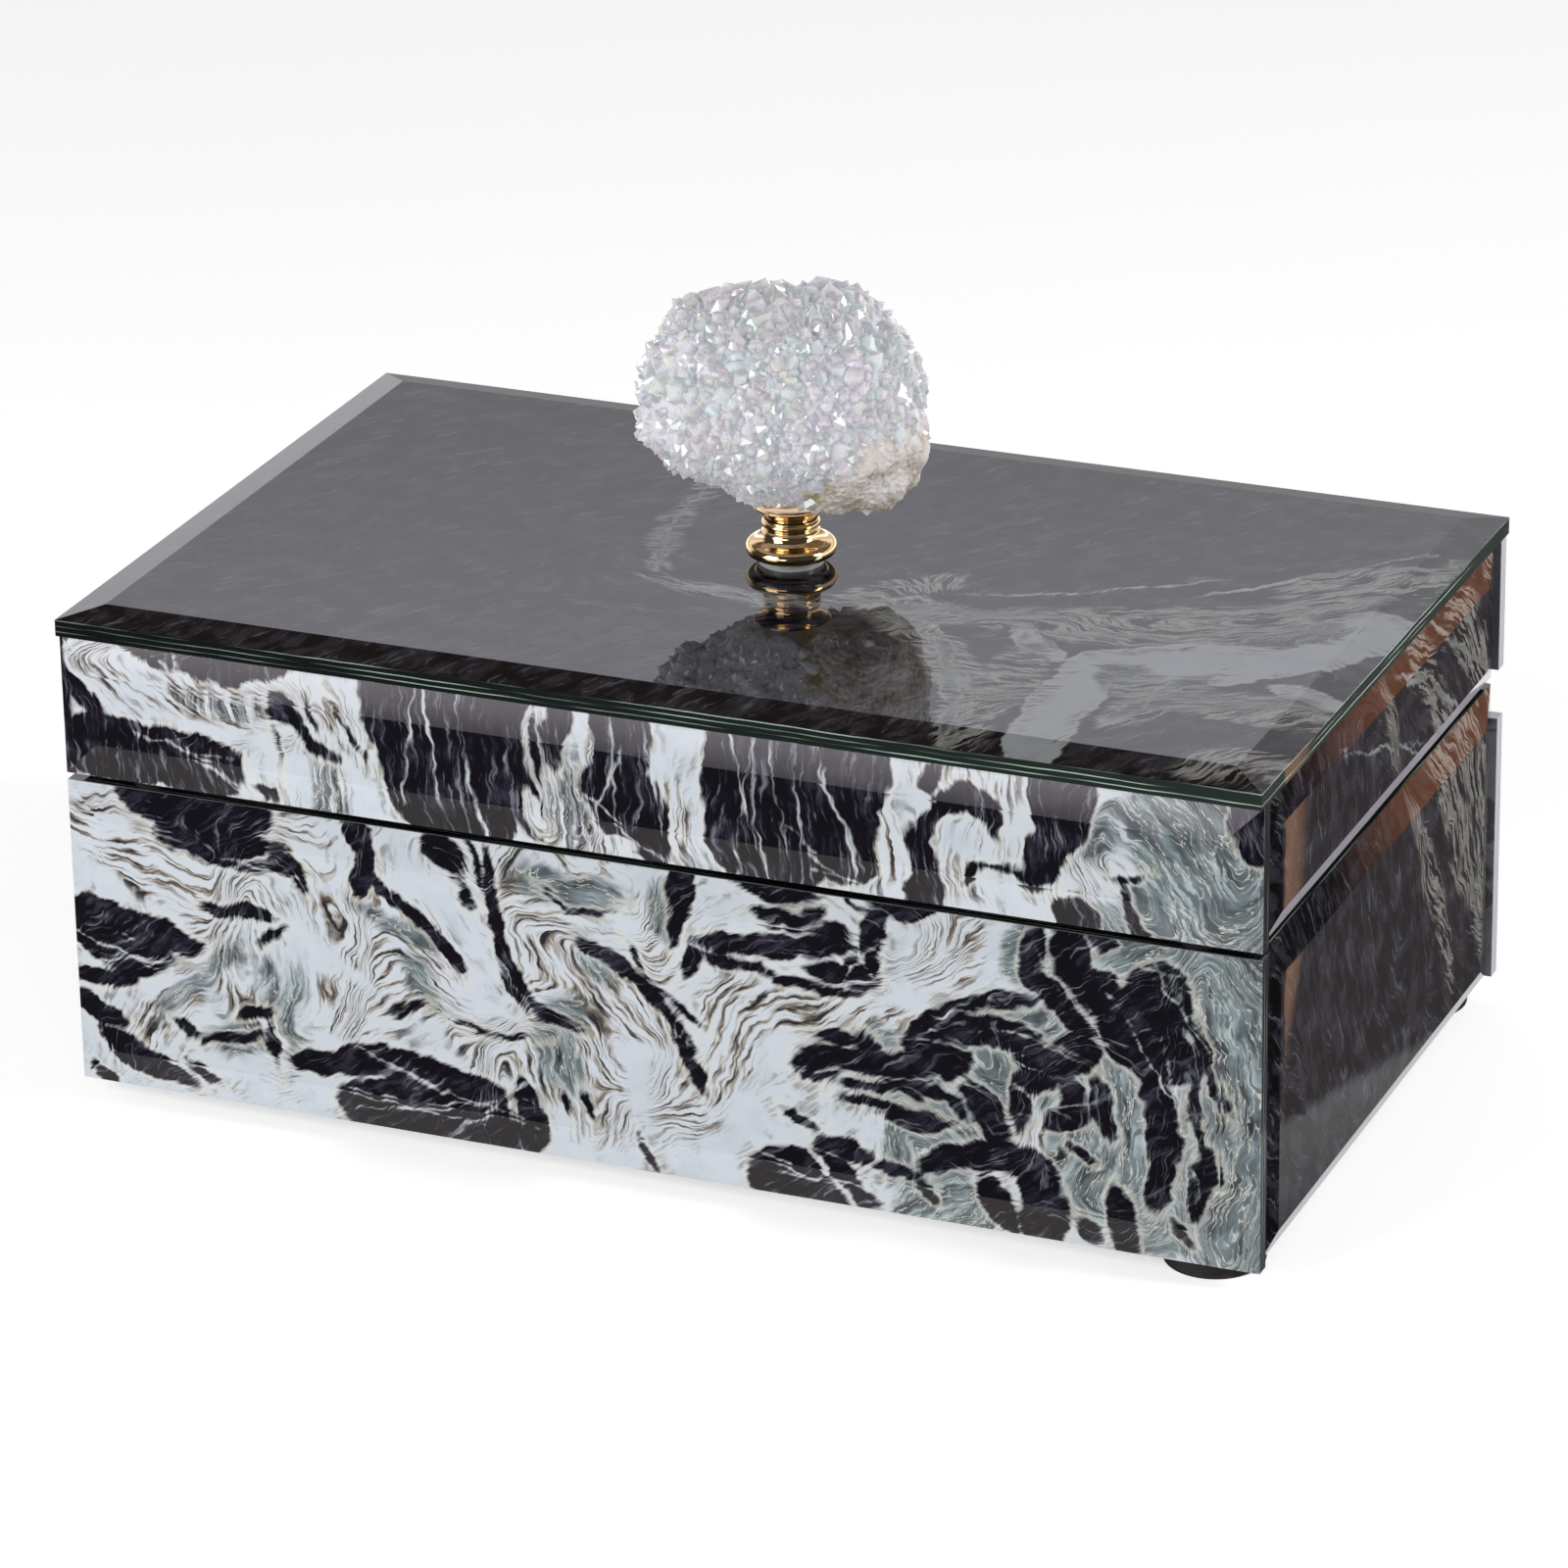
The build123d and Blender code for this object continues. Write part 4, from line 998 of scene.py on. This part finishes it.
def core_reach(direction, share):
    """Distance from the middle of the cluster to its core's surface; direction is (right, depth, up)."""
    right, depth, up = direction
    broad = hypot(right, up)
    reach = outline_reach(degrees(atan2(up, right))) * share
    lumps = 0.07 * noise.noise(Vector(direction) * 2.6 + Vector((3.1, 0.4, 7.7)))
    lumps += 0.035 * noise.noise(Vector(direction) * 5.5 + Vector((1.7, 8.2, 0.6)))
    ellipsoid = 1 / sqrt((broad / reach) ** 2 + (depth / (CLUSTER_DEPTH * share)) ** 2)
    return ellipsoid * (1 + lumps)


def core_normal(direction, share):
    """Outward direction of the core's surface, from three points close together."""
    step = 0.06
    side = direction.orthogonal().normalized()
    other = direction.cross(side)
    near = [direction, (direction + side * step).normalized(), (direction + other * step).normalized()]
    a, b, c = [d * core_reach(d, share) for d in near]
    normal = (b - a).cross(c - a).normalized()
    return normal if normal.dot(direction) > 0 else -normal


def add_crystal(mesh_tool, root, axis, radius, length, spin, random):
    """One quartz point: six prism faces and an uneven six-sided tip."""
    up = axis.normalized()
    side = up.orthogonal().normalized()
    other = up.cross(side)
    shoulder = length * random.uniform(0.45, 0.7)
    corners, base, sides = [], [], []
    for i in range(6):
        angle = spin + i * pi / 3 + random.uniform(-0.1, 0.1)
        out = side * cos(angle) + other * sin(angle)
        wide = radius * random.uniform(0.85, 1.1)
        base.append(mesh_tool.verts.new(root + out * wide))
        lift = shoulder * random.uniform(0.85, 1.15)
        corners.append(mesh_tool.verts.new(root + out * wide * 0.97 + up * lift))
    lean = side * random.uniform(-0.25, 0.25) * radius + other * random.uniform(-0.25, 0.25) * radius
    tip = mesh_tool.verts.new(root + up * length + lean)
    for i in range(6):
        j = (i + 1) % 6
        sides.append(mesh_tool.faces.new((base[i], base[j], corners[j], corners[i])))
        sides.append(mesh_tool.faces.new((corners[i], corners[j], tip)))
    sides.append(mesh_tool.faces.new(list(reversed(base))))
    film = random.randrange(len(FILMS))
    for side_face in sides:
        side_face.material_index = film


def in_matrix(direction):
    """How far a (right, depth, up) direction points at the patch of bare rock, low on the right."""
    return direction.dot(PATCH_DIRECTION)


def quartz_cluster():
    random = Random(41)
    _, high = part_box("knob_crystal")
    _, finial_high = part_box("knob_finial")
    middle = Vector((0, 0, (finial_high.z + high.z) / 2))
    turn = Matrix.Rotation(CLUSTER_TURN, 3, "Z")
    core_share = 0.925
    floor = finial_high.z + 0.0004

    crystals = bmesh.new()
    golden = pi * (3 - sqrt(5))
    for index in range(POINT_COUNT):
        z = 1 - 2 * (index + 0.5) / POINT_COUNT
        level = sqrt(1 - z * z)
        angle = golden * index + random.uniform(-0.3, 0.3)
        local = Vector((level * cos(angle), level * sin(angle), z))
        bare = in_matrix(local) > 0.80 + 0.10 * noise.noise(local * 6.0)
        if (bare and random.random() < 0.93) or z < -0.95:
            continue
        normal = turn @ core_normal(local, core_share)
        size = random.betavariate(1.1, 4.0)
        coarse = 0.75 + 0.5 * max(0.0, noise.noise(local * 2.4 + Vector((5.0, 1.0, 2.0))) + 0.3 * local.z)
        radius = (0.85 + 3.1 * size) * coarse * MM
        length = radius * random.uniform(1.5, 2.1) + 0.5 * MM
        tilt = Vector([random.gauss(0, 0.34) for _ in range(3)])
        axis = (normal + tilt).normalized()
        root = middle + turn @ local * core_reach(local, core_share) - axis * length * 0.55
        add_crystal(crystals, root, axis, radius, length, random.uniform(0, pi / 3), random)
    for vertex in crystals.verts:
        vertex.co.z = min(max(vertex.co.z, floor), high.z + 0.001)
    first, *others = [quartz_material(*film) for film in FILMS]
    points = new_piece("quartz_points", crystals, first, "lid", "quartz", "knob_crystal", smooth=False)
    for material in others:
        points.data.materials.append(material)

    core = bmesh.new()
    bmesh.ops.create_icosphere(core, subdivisions=7, radius=1.0)
    for vertex in core.verts:
        direction = vertex.co.normalized()
        bare = min(1.0, max(0.0, (in_matrix(direction) - 0.74) / 0.16))
        rough = 0.5 * MM * noise.noise(direction * 9.0) + 0.35 * MM * noise.noise(direction * 24.0)
        rough += bare * 0.3 * MM * noise.noise(direction * 60.0)
        reach = core_reach(direction, core_share) * (1 + 0.035 * bare) + rough
        vertex.co = middle + turn @ direction * reach
        vertex.co.z = max(vertex.co.z, floor - 0.0002)
    new_piece("quartz_matrix_rock", core, rock_material(), "lid", "quartz")


quartz_cluster()


# ---- velvet lining, felt ------------------------------------------------------------------------

VELVET_DEEP = rgb("17161a")
VELVET_BRIGHT = rgb("2b2930")
VELVET_TIP = rgb("6b6874")


def soft_slab(name, node, material, slot, body, crown, corner_radius=0.0012, spacing=0.003):
    """A velvet-covered card or pad that fills its CAD solid: rounded edges, a crowned face, faint ripples."""
    low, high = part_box(node)
    size = high - low
    thin = min(range(3), key=lambda i: size[i])
    across = [i for i in range(3) if i != thin]
    counts = [max(4, int(size[i] / spacing)) for i in across]
    slab = bmesh.new()
    middle = (low + high) / 2
    half = size / 2
    rounding = min(corner_radius, half[thin] * 0.98)

    def add_side(sign):
        rows = []
        for i in range(counts[0] + 1):
            row = []
            for j in range(counts[1] + 1):
                u = -1 + 2 * i / counts[0]
                v = -1 + 2 * j / counts[1]
                point = [0.0, 0.0, 0.0]
                point[across[0]] = u * half[across[0]]
                point[across[1]] = v * half[across[1]]
                inset = min((1 - abs(u)) * half[across[0]], (1 - abs(v)) * half[across[1]])
                rounded = rounding - sqrt(max(0.0, rounding ** 2 - max(0.0, rounding - inset) ** 2))
                spot = Vector(point) * 60
                ripple = crown * 0.5 * (0.5 + 0.5 * noise.noise(spot + Vector((sign * 3.0, 0, 0))))
                fall = crown * (1 - min(1.0, inset / 0.012)) ** 2
                point[thin] = sign * (half[thin] - rounded - fall - ripple)
                row.append(slab.verts.new(middle + Vector(point)))
            rows.append(row)
        return rows

    lower, upper = add_side(-1), add_side(1)
    for rows in (lower, upper):
        for i in range(counts[0]):
            for j in range(counts[1]):
                slab.faces.new((rows[i][j], rows[i + 1][j], rows[i + 1][j + 1], rows[i][j + 1]))
    rim = [(i, 0) for i in range(counts[0])] + [(counts[0], j) for j in range(counts[1])]
    rim += [(i, counts[1]) for i in range(counts[0], 0, -1)] + [(0, j) for j in range(counts[1], 0, -1)]
    for (i, j), (k, m) in zip(rim, rim[1:] + rim[:1]):
        slab.faces.new((lower[i][j], lower[k][m], upper[k][m], upper[i][j]))
    return new_piece(name, slab, material, body, slot, node)


velvet = velvet_material("velvet", VELVET_DEEP, VELVET_BRIGHT, VELVET_TIP)
felt = velvet_material("felt", rgb("151417"), rgb("201e22"), rgb("3a3840"))
for part, body in (("body", "root"), ("lid", "lid")):
    for place in ("front", "back", "left", "right"):
        name, node = f"velvet_{part}_{place}", f"lining_{part}_{place}"
        soft_slab(name, node, velvet, "velvet", body, 0.0002)
soft_slab("velvet_floor_cushion", "lining_floor_pad", velvet, "velvet", "root", 0.0005)
soft_slab("velvet_lid_cushion", "lining_lid_pad", velvet, "velvet", "lid", 0.0005)
felt_sheet = soft_slab("felt_under_base", "base_felt", felt, "felt", "root", 0.0001, 0.0003, 0.006)


# ---- stage and light --------------------------------------------------------------------------

def floor_material():
    material, graph, shader = new_material("pale_floor")
    place = object_place(graph)
    mottle = graph.noise(place, 3.0, 2.0, 0.5)
    graph.set(shader, {
        "Base Color": graph.mix(mottle, rgb("f6f6f6"), rgb("fafafa")),
        "Roughness": 0.9,
        "Specular IOR Level": 0.0,
        "Emission Color": (1, 1, 1, 1),
        "Emission Strength": 0.60,
    })
    return material


def flat_card(name, centre, across, up, material):
    """A rectangle given by its centre and two half-edge vectors."""
    mesh = bpy.data.meshes.new(name)
    centre, across, up = Vector(centre), Vector(across), Vector(up)
    corners = [centre - across - up, centre + across - up, centre + across + up, centre - across + up]
    mesh.from_pydata([tuple(c) for c in corners], [], [(0, 1, 2, 3)])
    mesh.materials.append(material)
    card = bpy.data.objects.new(name, mesh)
    scene.collection.objects.link(card)
    return card


floor = flat_card("floor", (0, 0, 0), (12, 0, 0), (0, 12, 0), floor_material())
floor.visible_glossy = False


def glow(graph, shader, colour, strength):
    """Makes a card give off light and mirror nothing."""
    graph.set(shader, {
        "Base Color": BLACK,
        "Specular IOR Level": 0.0,
        "Emission Color": colour,
        "Emission Strength": strength,
    })


def only_in_reflections(card):
    for ray in ("camera", "diffuse", "transmission", "shadow", "volume_scatter"):
        setattr(card, f"visible_{ray}", False)


def brown_strips():
    """Narrow upright strips that the flats of the right panels mirror near their front ends."""
    heading = Vector((0.3173, 0.9483, 0))
    across = Vector((-0.9483, 0.3173, 0))
    distance = 0.5
    strips = [("lid", 0.0240, 0.0047, -0.112, 0.043, 0.04), ("body", 0.0195, 0.0028, -0.1845, 0.0245, 0.13)]
    for name, place_y, half_width, z, half_height, taper in strips:
        centre = Vector((cad_high.x, cad_low.y + place_y, z)) + heading * distance
        material, graph, shader = new_material(f"brown_strip_{name}")
        offset = graph.vector("SUBTRACT", object_place(graph), centre)
        sideways = graph.vector("DOT_PRODUCT", offset, across)
        drop = graph.minus(half_height, graph.separate(offset)[2])
        narrowed = graph.times_plus(drop, taper, sideways)
        fade = graph.step(narrowed, half_width, -0.1 * half_width)
        glow(graph, shader, graph.mix(fade, (0.042, 0.038, 0.039, 1), rgb("896a57")), 3.0)
        card = flat_card(f"brown_strip_{name}", centre, across * half_width, (0, 0, half_height), material)
        only_in_reflections(card)


def haze_card():
    """A pale glow whose lower edge the upper bevel of the lid's front panel mirrors, fading downwards."""
    heading = Vector((-0.358, -0.933, 0))
    across = Vector((0.933, -0.358, 0))
    material, graph, shader = new_material("haze_card")
    height = graph.separate(object_place(graph))[2]
    fade = graph.step(height, 0.072, 0.102)
    glow(graph, shader, graph.mix(fade, BLACK, (1.0, 0.93, 1.0, 1)), 4.0)
    place = Vector((0, cad_low.y, 0.16)) + heading * 1.0
    only_in_reflections(flat_card("haze_card", place, across * 0.6, (0, 0, 0.09), material))


brown_strips()
haze_card()


LIGHTS_AIM = Vector((0, 0, 0.05))


def area_light(name, place, size, watts, glossy=True):
    data = bpy.data.lights.new(name, "AREA")
    data.shape = "RECTANGLE"
    data.size, data.size_y = size
    data.energy = watts
    light = bpy.data.objects.new(name, data)
    scene.collection.objects.link(light)
    light.location = place
    light.rotation_euler = (LIGHTS_AIM - Vector(place)).to_track_quat("-Z", "Y").to_euler()
    light.visible_camera = False
    light.visible_glossy = glossy


area_light("key_softbox", (-0.58, -1.05, 0.50), (0.6, 0.8), 9)
area_light("right_softbox", (1.10, 0.10, 0.60), (0.3, 0.6), 6)
area_light("front_fill", (0.5, -1.4, 0.9), (1.0, 1.0), 3, glossy=False)


def studio_world():
    """A bright backdrop low behind the box and dim walls elsewhere; plain pale where the camera sees it."""
    world = bpy.data.worlds.new("studio")
    world.use_nodes = True
    scene.world = world
    graph = Graph(world.node_tree)
    graph.tree.nodes.clear()
    direction = graph.add("ShaderNodeTexCoord").outputs["Generated"]
    x, y, z = graph.separate(direction)[:3]
    elevation = graph.times(graph.math("ARCSINE", z), 180 / pi)
    heading = graph.times(graph.math("ARCTAN2", x, y), 180 / pi)
    stops = [
        (-6, (0, 0, 0)), (-1, (0.6, 0.6, 0.6)), (0, (2.5, 2.5, 2.55)), (11, (0.84, 0.84, 0.9)),
        (14, (0.74, 0.73, 0.79)), (20, (0.8, 0.79, 0.86)), (22, (1.12, 1.11, 1.2)),
        (27.4, (1.05, 1.04, 1.1)), (29.2, (0.16, 0.12, 0.1)), (46, (0.11, 0.08, 0.065)),
        (90, (0.1, 0.08, 0.07)),
    ]
    lowest, highest, brightest = stops[0][0], stops[-1][0], 2.6
    share = graph.step(elevation, lowest, highest, smooth=False)
    places = []
    for at, level in stops:
        places.append(((at - lowest) / (highest - lowest), (*[part / brightest for part in level], 1)))
    backdrop = graph.ramp(share, places)
    behind = graph.step(y, -0.1, 0.25)
    glowing = graph.mix(behind, (0.02, 0.02, 0.022, 1), backdrop)

    # Below the level of the box only the glass sees the room: a pale table behind and close in front, brown
    # furniture on the right.
    below = graph.step(elevation, -1.0, -7.0)
    pale_behind = graph.times(graph.step(graph.math("ABSOLUTE", heading), 15.0, 7.0), below)
    glowing = graph.mix(pale_behind, glowing, (0.36, 0.36, 0.37, 1))
    dim_right = graph.times(graph.step(heading, 12.0, 18.0), graph.step(heading, 38.0, 30.0))
    glowing = graph.mix(graph.times(dim_right, below), glowing, (0.048, 0.044, 0.045, 1))
    # The edge of the pale table runs aslant across the lower part of the body's right panel.
    slope, edge = 0.548, -15.33
    tilted = graph.times_plus(heading, slope, elevation)
    table = graph.mix(graph.step(tilted, edge - 1.2, edge), (0.06, 0.06, 0.062, 1), (0.15, 0.147, 0.15, 1))
    near = graph.times(graph.step(tilted, edge + 0.04, edge - 0.08), dim_right)
    glowing = graph.mix(near, glowing, table)
    brown = graph.times(graph.step(heading, 20.0, 22.0), graph.step(heading, 26.4, 25.2))
    brown = graph.times(brown, graph.times(graph.step(elevation, -18.5, -16.5), below))
    glowing = graph.mix(brown, glowing, (0.25, 0.105, 0.055, 1))
    unlit = graph.times(graph.step(heading, 25.2, 26.4), below)
    glowing = graph.mix(unlit, glowing, (0.01, 0.01, 0.01, 1))
    close = graph.times(graph.step(elevation, -32.0, -40.0), graph.step(y, 0.0, -0.2))
    glowing = graph.mix(close, glowing, (0.27, 0.25, 0.24, 1))
    seen = graph.add("ShaderNodeLightPath").outputs["Is Camera Ray"]
    lit = graph.add("ShaderNodeBackground", {"Color": glowing, "Strength": brightest})
    plain = graph.add("ShaderNodeBackground", {"Color": (0.95, 0.95, 0.95, 1), "Strength": 1.0})
    both = graph.add("ShaderNodeMixShader", {0: seen})
    graph.tree.links.new(lit.outputs[0], both.inputs[1])
    graph.tree.links.new(plain.outputs[0], both.inputs[2])
    output = graph.add("ShaderNodeOutputWorld")
    graph.tree.links.new(both.outputs[0], output.inputs["Surface"])


studio_world()
